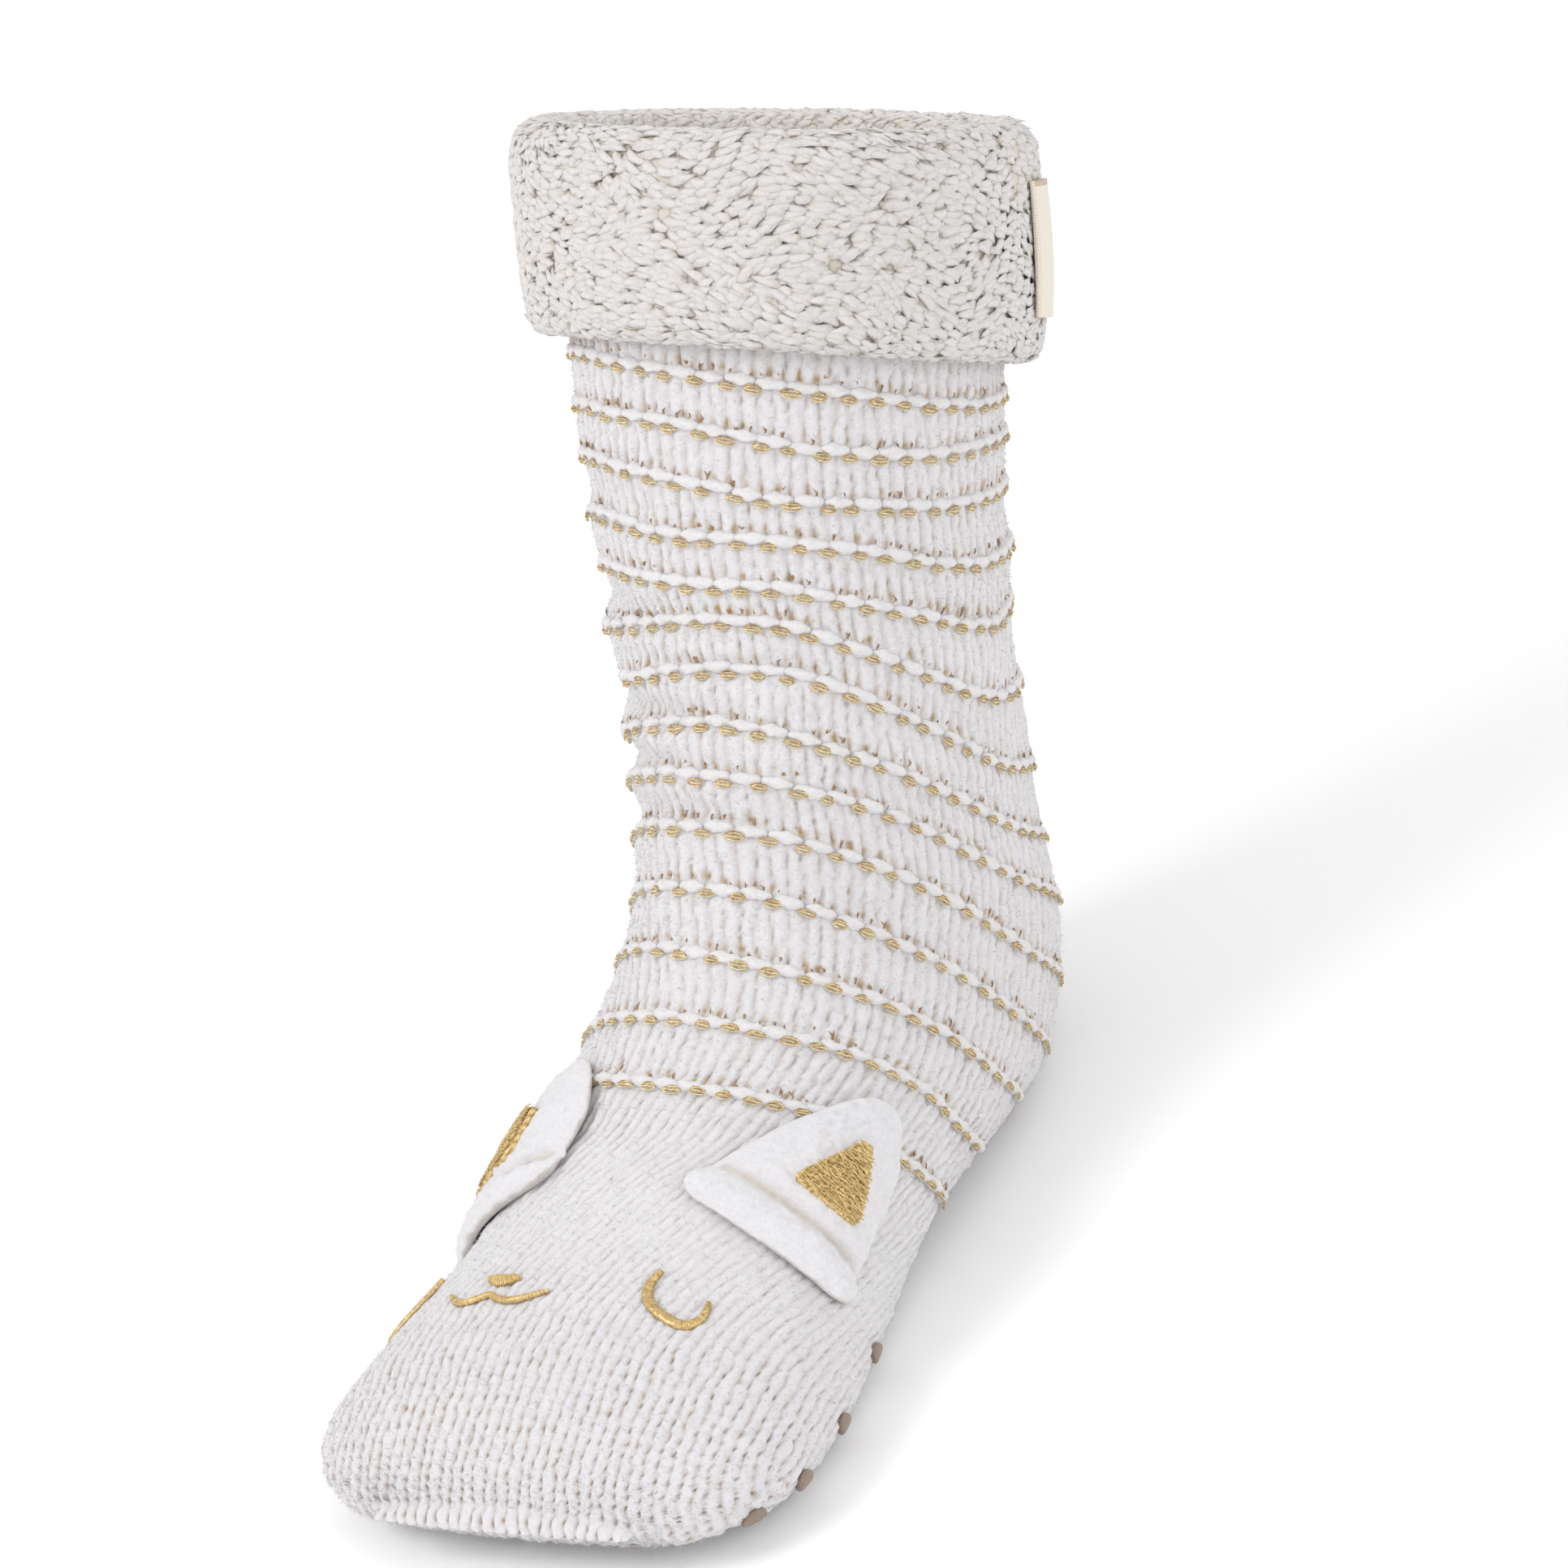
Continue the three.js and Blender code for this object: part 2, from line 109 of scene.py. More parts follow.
def new_piece(name, points, faces, material, smooth=True):
    mesh = bpy.data.meshes.new(name)
    mesh.from_pydata(np.asarray(points, float).tolist(), [], [tuple(int(i) for i in f) for f in faces])
    mesh.materials.append(material)
    if smooth:
        mesh.shade_smooth()
    made = bpy.data.objects.new(name, mesh)
    bpy.context.scene.collection.objects.link(made)
    return made


card, tree = new_material("matt_white_card")
finish_material(tree, node(tree, "ShaderNodeBsdfPrincipled", Base_Color=linear("#fafafa"), Roughness=0.9))
floor_reach = 6.0
floor = new_piece("floor", [(-floor_reach, -floor_reach, 0), (floor_reach, -floor_reach, 0),
                            (floor_reach, floor_reach, 0), (-floor_reach, floor_reach, 0)],
                  [(0, 1, 2, 3)], card, smooth=False)

# Light. A bright even tent with one large soft box high on the left and a weaker one low on the right.
world = bpy.data.worlds.new("tent")
bpy.context.scene.world = world
world.use_nodes = True
world.node_tree.nodes["Background"].inputs["Color"].default_value = linear("#ffffff")
world.node_tree.nodes["Background"].inputs["Strength"].default_value = 0.92
bpy.context.scene.view_settings.view_transform = "Standard"


def soft_box(name, place, size, watts):
    lamp = bpy.data.lights.new(name, "AREA")
    lamp.size = size
    lamp.energy = watts
    made = bpy.data.objects.new(name, lamp)
    bpy.context.scene.collection.objects.link(made)
    made.location = place
    made.rotation_euler = (Vector((0, -0.04, 0.08)) - Vector(place)).to_track_quat("-Z", "Y").to_euler()


soft_box("soft_box_left", (-0.9, -1.2, 1.5), 0.8, 14)
soft_box("soft_box_right", (1.5, -0.5, 0.9), 1.0, 6)


# Upper. Leg, heel, sole and toe are knitted in one tube of white chenille yarn. The ribs of the knitting
# run down the leg and on to the toe, where they draw together under the front edge.
# Each row is one section of the last: top run, top rise, low run, low rise, width, widest, top power, low
# power, crest, aside, cant and turn, from the rim to the nose. Runs count in foot lengths from the heel's
# back, rises in heel heights, widths and sideways moves in half widths, and the turn in degrees.
foot_length = 0.227
heel_height = 0.104
half_width = 0.052
heel_back = 0.044
wall = 0.0024
sole_level = 0.0011
last = np.array([
    [0.226, 2.13, -0.162, 1.79, 0.86, 0.5, 2, 2, 0, 0.055, 0.1, 6],
    [0.273, 1.79, -0.116, 1.485, 0.85, 0.5, 2, 2, 0, 0.03, 0.09, 6],
    [0.305, 1.55, -0.083, 1.26, 0.83, 0.5, 2, 2, 0, 0, 0.06, 6],
    [0.335, 1.33, -0.054, 1.06, 0.8, 0.5, 2, 2, 0, 0, 0.03, 6],
    [0.36, 1.16, -0.03, 0.885, 0.78, 0.5, 2, 2, 0, 0, 0.01, 8],
    [0.404, 1, 0, 0.44, 0.72, 0.49, 2, 2.1, 0, 0, 0, 9],
    [0.437, 0.876, 0.033, 0.13, 0.73, 0.46, 2, 2.3, 0, 0, 0, 11],
    [0.483, 0.752, 0.151, -0.03, 0.76, 0.4, 2, 2.6, 0, 0, 0, 14],
    [0.55, 0.63, 0.307, 0, 0.8, 0.38, 2, 3, -0.01, 0, 0, 18],
    [0.631, 0.52, 0.462, 0.022, 0.8, 0.37, 2.1, 3.2, -0.03, 0, 0, 12],
    [0.727, 0.415, 0.622, -0.025, 0.86, 0.37, 2.2, 3.2, -0.04, 0, 0, -8],
    [0.828, 0.352, 0.769, -0.035, 0.97, 0.39, 2.2, 3, -0.05, 0, 0, -19],
    [0.92, 0.3, 0.887, -0.015, 1, 0.42, 2.3, 2.6, -0.05, 0, 0, -16],
    [0.981, 0.221, 0.956, 0.035, 0.86, 0.46, 2.4, 2.4, -0.04, 0, 0, -12],
    [1.003, 0.157, 0.991, 0.085, 0.56, 0.5, 2.2, 2.2, -0.03, 0, 0, -8],
])
toe_end = len(last) - 1


def along(place):
    place = np.asarray(place, float)
    row = np.clip(np.floor(place).astype(int), 0, toe_end - 1)
    part = (place - row)[..., None]
    near, following = last[row], last[row + 1]
    before = np.where((row == 0)[..., None], 2 * near - following, last[np.maximum(row - 1, 0)])
    after = np.where((row + 2 > toe_end)[..., None], 2 * following - near, last[np.minimum(row + 2, toe_end)])
    return 0.5 * (2 * near + (following - before) * part
                  + (2 * before - 5 * near + 4 * following - after) * part ** 2
                  + (3 * near - before - 3 * following + after) * part ** 3)


def skin(place, angle):
    (top_run, top_rise, low_run, low_rise, width, widest, top_power, low_power, crest, aside, cant,
     _) = np.moveaxis(along(place), -1, 0)
    above, side = np.cos(angle), np.sin(angle)
    middle = 2 * widest - 1
    power = np.where(above >= 0, top_power, low_power)
    climb = np.abs(above) ** (2 / power)
    reach = np.abs(side) ** (2 / power)
    share = np.where(above >= 0, middle + (1 - middle) * climb, middle - (1 + middle) * climb)
    lead = crest * half_width * np.maximum(0, (share + 1) / 2)
    run = ((top_run + low_run) / 2 + (top_run - low_run) / 2 * share) * foot_length
    rise = ((top_rise + low_rise) / 2 + (top_rise - low_rise) / 2 * share) * heel_height
    across = width * half_width * np.sign(side) * reach + lead
    return np.stack([across + aside * half_width, heel_back - run,
                     np.maximum(rise, sole_level) - cant * across], -1)


def unit(vectors):
    return vectors / (np.linalg.norm(vectors, axis=-1, keepdims=True) + 1e-12)


def outward(place, angle, step=0.02):
    down = skin(place + step, angle) - skin(place - step, angle)
    around = skin(place, angle + step) - skin(place, angle - step)
    return -unit(np.cross(around, down))


def lifted(place, angle, height):
    place, angle = np.broadcast_arrays(np.asarray(place, float), np.asarray(angle, float))
    return skin(place, angle) + outward(place, angle) * np.asarray(height, float)[..., None]


# The ribs stand the same distance apart all round, so a rib keeps its share of the way round the tube.
place_grid = np.linspace(0, toe_end, 561)
share_grid = np.linspace(0, 1, 721)
angle_grid = np.empty((561, 721))
for index, at in enumerate(place_grid):
    sweep = math.radians(along(at)[11]) + np.linspace(0, 2 * np.pi, 1441)
    steps = np.linalg.norm(np.diff(skin(np.full(1441, at), sweep), axis=0), axis=1)
    angle_grid[index] = np.interp(share_grid, np.concatenate([[0], np.cumsum(steps)]) / steps.sum(), sweep)


def rib_angle(place, share):
    place, share = np.broadcast_arrays(np.asarray(place, float), np.asarray(share, float))
    whole = np.floor(share)
    row = np.clip(place / toe_end * 560, 0, 559.999)
    column = (share - whole) * 720
    r, c = row.astype(int), np.minimum(column.astype(int), 719)
    fr, fc = row - r, column - c
    value = ((angle_grid[r, c] * (1 - fc) + angle_grid[r, c + 1] * fc) * (1 - fr)
             + (angle_grid[r + 1, c] * (1 - fc) + angle_grid[r + 1, c + 1] * fc) * fr)
    return value + whole * 2 * np.pi


middle_line = skin(place_grid[:, None], angle_grid[:, ::90])
way_grid = np.concatenate([[0], np.cumsum(np.linalg.norm(np.diff(middle_line, axis=0), axis=2).mean(1))])


def way(place):
    return np.interp(place, place_grid, way_grid)


# Smooth random numbers on a grid that repeats, for the lumps of the yarn. Points and size are in metres.
lattice = np.random.default_rng(7).random((32, 32, 32))


def fluff(points, size, shift=0.0):
    spot = points / size + shift
    low = np.floor(spot).astype(int)
    part = spot - low
    part = part * part * (3 - 2 * part)
    total = 0.0
    for corner in range(8):
        offset = np.array([corner & 1, corner >> 1 & 1, corner >> 2 & 1])
        weight = np.prod(np.where(offset, part, 1 - part), axis=-1)
        cell = (low + offset) % 32
        total = total + weight * lattice[cell[..., 0], cell[..., 1], cell[..., 2]]
    return total * 2 - 1


rib_count = 90
stitch = 0.0032
rib_height = 0.0009
# Where the gold stripes cross seven lines down the leg, in places. The lines are at these angles, and the
# last one runs down the back. The stripes sag and bunch where the ankle folds.
chart_angles = [-40, 0, 25, 50, 75, 95, 180]
stripe_chart = np.array([
    [1.18, 1.25, 1.35, 1.48, 1.65, 1.72, 1.72],
    [1.60, 1.67, 1.85, 2.01, 2.10, 2.10, 2.08],
    [2.02, 2.16, 2.33, 2.45, 2.58, 2.60, 2.55],
    [2.50, 2.64, 2.68, 2.87, 3.18, 3.33, 3.05],
    [2.96, 3.07, 3.13, 3.48, 3.88, 4.06, 3.65],
    [3.66, 3.44, 3.56, 4.05, 4.40, 4.52, 4.25],
    [4.20, 4.02, 4.09, 4.45, 4.76, 4.94, 4.78],
    [4.65, 4.56, 4.70, 4.96, 5.23, 5.42, 5.26],
    [5.10, 5.19, 5.26, 5.46, 5.76, 5.90, 5.75],
    [5.78, 5.92, 5.98, 6.13, 6.34, 6.48, 6.42],
    [6.55, 6.68, 6.74, 6.84, 6.96, 7.08, 7.08],
    [7.22, 7.42, 7.49, 7.53, 7.60, 7.72, 7.70],
    [8.03, 8.11, 8.15, 8.14, 8.22, 8.40, 8.30],
    [8.68, 8.80, 8.82, 8.80, 8.89, 8.95, 8.95],
])
full_turn = np.arange(-40, 320)
blur = np.exp(-(np.arange(-30, 31) / 9) ** 2)
stripe_lines = []
for row in stripe_chart:
    line = np.interp(full_turn, chart_angles + [320], list(row) + [row[0]])
    looped = np.concatenate([line[-30:], line, line[:30]])
    stripe_lines.append(np.convolve(looped, blur / blur.sum(), "valid"))


def stripe_place(stripe, angle):
    return np.interp((np.degrees(angle) + 40) % 360 - 40, full_turn, stripe_lines[stripe], period=360)


# Soft folds at the front of the ankle, worn in by the bend: place, angle in degrees, half length in
# degrees, half width in places and depth.
ankle_folds = [
    (2.35, -42, 42, 0.16, 0.0012), (3.35, -38, 48, 0.2, 0.0020), (3.98, 10, 34, 0.14, 0.0016),
    (4.38, -34, 46, 0.15, 0.0022), (4.88, -34, 46, 0.15, 0.0020), (5.6, -20, 52, 0.2, 0.0016),
    (3.8, 88, 34, 0.22, 0.0010), (4.6, 70, 30, 0.2, 0.0012), (6.6, 60, 40, 0.3, 0.0012),
    (2.9, 150, 46, 0.3, 0.0012), (4.4, 172, 52, 0.26, 0.0016), (9.35, 30, 60, 0.25, 0.0008),
]


def fold_depth(place, angle):
    depth = np.zeros(np.broadcast(place, angle).shape)
    for at, degrees, half_length, half_band, deep in ankle_folds:
        off = (np.degrees(angle) - degrees + 180) % 360 - 180
        band = np.exp(-((place - at - 0.003 * off) / half_band) ** 2)
        ridge = np.exp(-((place - at - 0.003 * off - 1.7 * half_band) / half_band) ** 2)
        depth = depth + deep * np.exp(-(off / half_length) ** 2) * (band - 0.6 * ridge)
    return depth


# Past the broadest row the ribs no longer draw together but run straight on over the toe, each at the
# same distance from the middle as on that row. Where the sole turns up, its ribs give way to those of the
# top, so that they meet at the front edge.
broad = 12.0
sole_join = 12.9
half_sweep = np.linspace(-np.pi / 2, np.pi / 2, 361)
broad_top = skin(np.full(361, broad), half_sweep)[:, 0]
broad_sole = skin(np.full(361, broad), np.pi - half_sweep)[:, 0]
broad_angles = angle_grid[int(broad / toe_end * 560)]


def rib_share(place, share, angle):
    across = skin(place, angle)[..., 0]
    top_way = np.interp(across, broad_top, half_sweep)
    sole_way = np.pi - np.interp(across, broad_sole, half_sweep)
    same = np.where((np.cos(angle) >= 0) | (place > sole_join), top_way, sole_way)
    turned = (same - broad_angles[0]) % (2 * np.pi) + broad_angles[0]
    return np.where(place > broad, np.interp(turned, broad_angles, share_grid), share)


def lumpy(points):
    return np.clip(0.5 + fluff(points, 0.004, 15.5), 0, 1)


def knit_relief(place, share, angle, points, run):
    """Height over the skin and the share of beige colour, for ribs, stitches, stripes and folds: painted shade in
    the valleys and under the stripe bars, at the pits the lining seen through the stitches together with painted
    shade, and brown-beige spots just above the stripes.
    """
    sway = 0.12 * fluff(points, 0.006, 3.1) + 0.22 * fluff(points, 0.0018, 9.7)
    phase = rib_share(place, share, angle) * rib_count + sway
    ridge = np.abs(np.cos(np.pi * (phase - np.floor(phase) - 0.5))) ** 0.55
    below = np.clip(-np.cos(angle) * 3, 0, 1)
    ridge = 0.8 + (ridge - 0.8) * (1 - below * np.exp(-((place - sole_join) / 0.15) ** 2))
    valley = 1 - ridge
    beat = 0.5 + 0.5 * np.cos(2 * np.pi * (run / stitch + 0.5 * fluff(points, 0.005, 5.3)))
    toe = np.clip((place - 10.6) / 1.2, 0, 1)
    instep = np.exp(-((place - 9.9) / 0.75) ** 2)
    pit = valley ** 2 * beat ** 3 * (0.3 + 0.9 * toe)
    foot_part = np.clip((place - 8.8) / 0.8, 0, 1)
    height = rib_height * (1 - 0.4 * foot_part - 0.25 * instep) * (ridge - 0.9)
    height = height - 0.0007 * pit
    height = height + 0.00022 * (beat - 0.5) * ridge
    height = height + 0.0003 * fluff(points, 0.0024) + 0.0003 * fluff(points, 0.0012, 4.4)
    # Painted shade: the valleys between the ribs are mixed towards beige. At the pits the beige is partly the lining
    # seen through the stitches and partly painted shade.
    shade = (0.34 - 0.22 * instep) * valley ** 1.3 * (0.4 + 0.9 * lumpy(points)) + 0.9 * pit
    step = np.linalg.norm(skin(place + 0.02, angle) - skin(place - 0.02, angle), axis=-1) / 0.04
    for stripe in range(len(stripe_chart)):
        off = (place - stripe_place(stripe, angle)) * step
        inside = np.exp(-((off + 0.0008) / 0.0015) ** 2)
        height = height * (1 - 0.7 * inside) - 0.0004 * inside
        above = np.exp(-((off + 0.0031) / 0.001) ** 2)
        brown_spot = above * valley * lumpy(points * 1.7)
        # Under each stripe's bars the valley shade gives way to a little even painted shade. The valleys just above
        # the stripe get brown-beige spots where the loose thread ends sit.
        shade = shade * (1 - 0.6 * inside) + 0.1 * inside + 2.2 * brown_spot
    height = height - fold_depth(place, angle)
    height = height + 0.0012 * below * np.exp(-((place - 13.35) / 0.45) ** 2)
    return height, np.clip(shade, 0, 1)


def knit_points(place, share):
    angle = rib_angle(place, share)
    points = skin(place, angle)
    height, shade = knit_relief(place, share, angle, points, way(place))
    points = points + outward(place, angle) * height[..., None]
    points[..., 2] = np.maximum(points[..., 2], 0.00035)
    return points, shade


def toe_edge(shares):
    """Rings past the nose that close the toe along a level line, so that the ribs run on over it."""
    place = np.full((6, len(shares)), float(toe_end))
    share = np.broadcast_to(shares, place.shape)
    angle = rib_angle(place, share)
    points = skin(place, angle)
    closing = np.array([0.9, 0.72, 0.52, 0.33, 0.16, 0.06])[:, None]
    centre = points[..., 2].mean()
    half = np.abs(points[..., 2] - centre)
    points[..., 1] -= 0.0024 * np.sqrt(1 - closing ** 2)
    points[..., 2] = centre + (points[..., 2] - centre) * closing
    normal = unit(outward(place, angle) * closing[..., None] + np.array([0, -1, 0]) * (1.1 - closing[..., None]))
    height, shade = knit_relief(place, share, angle, points, way(toe_end) + half * (1 - closing))
    return points + normal * height[..., None], shade


def tube_faces(rows, columns, closed=False):
    row, column = np.meshgrid(np.arange(rows if closed else rows - 1), np.arange(columns), indexing="ij")
    a = row * columns + column
    b = row * columns + (column + 1) % columns
    a2 = (row + 1) % rows * columns + column
    b2 = (row + 1) % rows * columns + (column + 1) % columns
    return np.stack([a, a2, b2, b], -1).reshape(-1, 4)


# Chenille: short pile standing out all round a core thread, in off-white polyester. Light sinks in and the edges
# glow.
# A shade attribute mixes in a warm beige, which paints the shade in the valleys between the ribs and in other
# hollows.
def pile_material(name, light, deep, attribute, grain, sheen):
    made, tree = new_material(name)
    where = node(tree, "ShaderNodeTexCoord").outputs["Object"]
    shade = node(tree, "ShaderNodeAttribute", {"attribute_name": attribute}).outputs["Fac"]
    patch = node(tree, "ShaderNodeTexNoise", Vector=where, Scale=160.0, Detail=3.0).outputs["Fac"]
    mottle = node(tree, "ShaderNodeMapRange", Value=patch, From_Min=0.3, From_Max=0.7, To_Min=0.75,
                  To_Max=1.25).outputs[0]
    amount = node(tree, "ShaderNodeMath", {"operation": "MULTIPLY", "use_clamp": True}, _0=shade,
                  _1=mottle).outputs[0]
    colour = node(tree, "ShaderNodeMix", {"data_type": "RGBA"}, _0=amount, _6=linear(light),
                  _7=linear(deep)).outputs[2]
    pile = node(tree, "ShaderNodeTexNoise", Vector=where, Scale=1 / grain, Detail=5.0,
                Roughness=0.75).outputs["Fac"]
    speck = node(tree, "ShaderNodeMapRange", Value=pile, From_Min=0.3, From_Max=0.7, To_Min=0.9,
                 To_Max=1.05).outputs[0]
    colour = node(tree, "ShaderNodeVectorMath", {"operation": "SCALE"}, _0=colour, Scale=speck).outputs[0]
    bump = node(tree, "ShaderNodeBump", Strength=0.9, Distance=grain * 0.7, Height=pile).outputs[0]
    shader = node(tree, "ShaderNodeBsdfPrincipled", Base_Color=colour, Roughness=0.95, Normal=bump,
                  Sheen_Weight=sheen, Sheen_Roughness=0.6, Subsurface_Weight=0.12,
                  Subsurface_Scale=0.002)
    shader.inputs["Subsurface Radius"].default_value = (1.0, 0.9, 0.8)
    finish_material(tree, shader)
    return made


chenille = pile_material("white_chenille", "#e7e5e8", "#b3946a", "shade", 0.0008, 0.35)
joint = 9.0
joint_lip = 0.002
leg_rows = np.concatenate([[0, joint_lip], np.linspace(0.05, joint - 0.05, 166), [joint - joint_lip, joint]])
foot_rows = np.concatenate([[joint, joint + joint_lip], np.linspace(joint + 0.05, 13.4, 84),
                            np.linspace(13.45, 14, 14)])


def knit_shell(name, rows, inner_rows, columns_per_rib, toe_closed):
    rib_shares = np.arange(rib_count * columns_per_rib) / (rib_count * columns_per_rib)
    outer, shade = knit_points(rows[:, None], rib_shares[None, :])
    inner_place, inner_share = np.broadcast_arrays(inner_rows[:, None], rib_shares[None, :])
    inner = lifted(inner_place, rib_angle(inner_place, inner_share), np.full(inner_place.shape, -wall))
    if toe_closed:
        edge, edge_shade = toe_edge(rib_shares)
        outer, shade = np.concatenate([outer, edge]), np.concatenate([shade, edge_shade])
    rings = np.concatenate([inner[::-1], outer])
    shades = np.concatenate([np.full(inner.shape[:2], 0.4), shade])
    points = rings.reshape(-1, 3)
    faces = tube_faces(len(rings), len(rib_shares), closed=not toe_closed)
    faces = [tuple(f) for f in faces[:, ::-1]]
    if toe_closed:
        columns = len(rib_shares)
        tip = outer[-1].mean(0)
        inner_tip = inner[-1].mean(0)
        inner_tip[1] = tip[1] + wall + 0.003
        points = np.concatenate([points, [inner_tip, tip]])
        end = (len(rings) - 1) * columns
        for spot in range(columns):
            beside = (spot + 1) % columns
            faces.append((len(points) - 2, spot, beside)[::-1])
            faces.append((len(points) - 1, end + beside, end + spot)[::-1])
    made = new_piece(name, points, faces, chenille)
    values = np.concatenate([shades.ravel(), [0.4, 0.2]]) if toe_closed else shades.ravel()
    layer = made.data.attributes.new("shade", "FLOAT", "POINT")
    layer.data.foreach_set("value", values.astype(np.float32))
    return made


leg = knit_shell("leg_knit", leg_rows, np.linspace(0, joint, 20), 5, False)
foot = knit_shell("foot_knit", foot_rows, np.concatenate([np.linspace(joint, 13.2, 11), [13.6]]), 8, True)
for piece in (leg, foot):
    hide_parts("upper")
    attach(piece, "root")


# Stripes. Fourteen rows where the chenille is laid crosswise as plump white bars, tied down by little
# bundles of metallic gold thread, with loose ends of the same thread showing between the ribs above.
def spread(name, spots, turns, sizes, kinds, shapes, material):
    """Sets copies of the shapes at the spots with Geometry Nodes and returns them as one plain mesh."""
    stock = bpy.data.collections.new(name + "_shapes")
    for index, (points, faces, tips) in enumerate(shapes):
        one = bpy.data.meshes.new(f"{name}_{index}")
        one.from_pydata(np.asarray(points, float).tolist(), [], [tuple(int(i) for i in f) for f in faces])
        one.shade_smooth()
        one.attributes.new("tip", "FLOAT", "POINT").data.foreach_set("value", np.asarray(tips, np.float32))
        stock.objects.link(bpy.data.objects.new(f"{name}_{index}", one))
    holder = bpy.data.meshes.new(name + "_spots")
    holder.from_pydata(np.asarray(spots, float).tolist(), [], [])
    holder.attributes.new("turn", "FLOAT_VECTOR", "POINT").data.foreach_set(
        "vector", np.asarray(turns, np.float32).ravel())
    holder.attributes.new("size", "FLOAT_VECTOR", "POINT").data.foreach_set(
        "vector", np.asarray(sizes, np.float32).ravel())
    holder.attributes.new("kind", "INT", "POINT").data.foreach_set("value", np.asarray(kinds, np.int32))
    carrier = bpy.data.objects.new(name + "_carrier", holder)
    bpy.context.scene.collection.objects.link(carrier)
    tree = bpy.data.node_groups.new(name + "_spread", "GeometryNodeTree")
    face = tree.interface
    face.new_socket("Geometry", in_out="INPUT", socket_type="NodeSocketGeometry")
    wanted = {"Shapes": ("NodeSocketCollection", stock), "Size": ("NodeSocketFloat", 1.0),
              "Finish": ("NodeSocketMaterial", material)}
    named = {label: face.new_socket(label, in_out="INPUT", socket_type=kind)
             for label, (kind, _) in wanted.items()}
    face.new_socket("Geometry", in_out="OUTPUT", socket_type="NodeSocketGeometry")
    given = node(tree, "NodeGroupInput")
    turn = node(tree, "GeometryNodeInputNamedAttribute", {"data_type": "FLOAT_VECTOR"}, Name="turn")
    size = node(tree, "GeometryNodeInputNamedAttribute", {"data_type": "FLOAT_VECTOR"}, Name="size")
    kind = node(tree, "GeometryNodeInputNamedAttribute", {"data_type": "INT"}, Name="kind")
    shape = node(tree, "GeometryNodeCollectionInfo", {"transform_space": "ORIGINAL"},
                 Collection=given.outputs["Shapes"], Separate_Children=True, Reset_Children=True)
    scaled = node(tree, "ShaderNodeVectorMath", {"operation": "SCALE"}, _0=size.outputs["Attribute"],
                  Scale=given.outputs["Size"])
    rotation = node(tree, "FunctionNodeEulerToRotation", Euler=turn.outputs["Attribute"])
    placed = node(tree, "GeometryNodeInstanceOnPoints", Points=given.outputs["Geometry"],
                  Instance=shape.outputs[0], Pick_Instance=True, Instance_Index=kind.outputs["Attribute"],
                  Rotation=rotation.outputs[0], Scale=scaled.outputs[0])
    real = node(tree, "GeometryNodeRealizeInstances", Geometry=placed.outputs[0])
    covered = node(tree, "GeometryNodeSetMaterial", Geometry=real.outputs[0],
                   Material=given.outputs["Finish"])
    node(tree, "NodeGroupOutput", Geometry=covered.outputs[0])
    modifier = carrier.modifiers.new("spread", "NODES")
    modifier.node_group = tree
    for label, (_, value) in wanted.items():
        modifier[named[label].identifier] = value
    graph = bpy.context.evaluated_depsgraph_get()
    mesh = bpy.data.meshes.new_from_object(carrier.evaluated_get(graph))
    mesh.name = name
    bpy.data.objects.remove(carrier)
    for one in list(stock.objects):
        bpy.data.objects.remove(one)
    bpy.data.collections.remove(stock)
    mesh.shade_smooth()
    made = bpy.data.objects.new(name, mesh)
    bpy.context.scene.collection.objects.link(made)
    return made


def facing(lengthwise, normal):
    """Euler turns that point a shape's X along lengthwise and its Z along normal."""
    x = unit(lengthwise - (lengthwise * normal).sum(-1, keepdims=True) * normal)
    y = np.cross(normal, x)
    return [Matrix(np.stack([a, b, c], -1).tolist()).to_euler()[:] for a, b, c in zip(x, y, normal)]


def stripe_spot(stripe, share, offset):
    """Place and angle on a stripe's line, offset in metres towards the rim."""
    place = np.full(np.shape(share), stripe_chart[stripe].mean())
    for _ in range(8):
        angle = rib_angle(place, share)
        place = 0.3 * place + 0.7 * stripe_place(stripe, angle)
    step = np.linalg.norm(skin(place + 0.02, angle) - skin(place - 0.02, angle), axis=-1) / 0.04
    place = place - offset / step
    return place, rib_angle(place, share)


def stripe_frame(stripe, share, offset, height):
    place, angle = stripe_spot(stripe, share, offset)
    ahead_place, ahead_angle = stripe_spot(stripe, share + 0.004, offset)
    normal = outward(place, angle)
    spots = skin(place, angle) + normal * (height - fold_depth(place, angle))[..., None]
    turns = facing(skin(ahead_place, ahead_angle) - skin(place, angle), normal)
    keep = ~((normal[:, 2] < -0.55) & (spots[:, 2] < 0.02))
    return spots, np.array(turns), keep


def bar_shape(seed):
    """A plump bar one unit long with a woolly surface and rounded ends."""
    points, rounds, rings = [], 8, 7
    for ring in range(rings):
        t = (ring + 0.5) / rings * 2 - 1
        radius = (1 - abs(t) ** 2.6) ** 0.5
        for spot in range(rounds):
            turn = spot / rounds * 2 * math.pi
            lump = 1 + 0.16 * math.sin(3 * turn + 5 * t + seed) + 0.1 * math.sin(7 * t + 2 * seed)
            points.append((t * 0.5, 0.5 * radius * lump * math.cos(turn),
                           0.5 * radius * lump * math.sin(turn)))
    faces = [tuple(f) for f in tube_faces(rings, rounds)[:, ::-1]]
    points += [(-0.52, 0, 0), (0.52, 0, 0)]
    for spot in range(rounds):
        beside = (spot + 1) % rounds
        faces.append((len(points) - 2, beside, spot))
        faces.append((len(points) - 1, (rings - 1) * rounds + spot, (rings - 1) * rounds + beside))
    return np.array(points), faces, [0.1] * len(points)


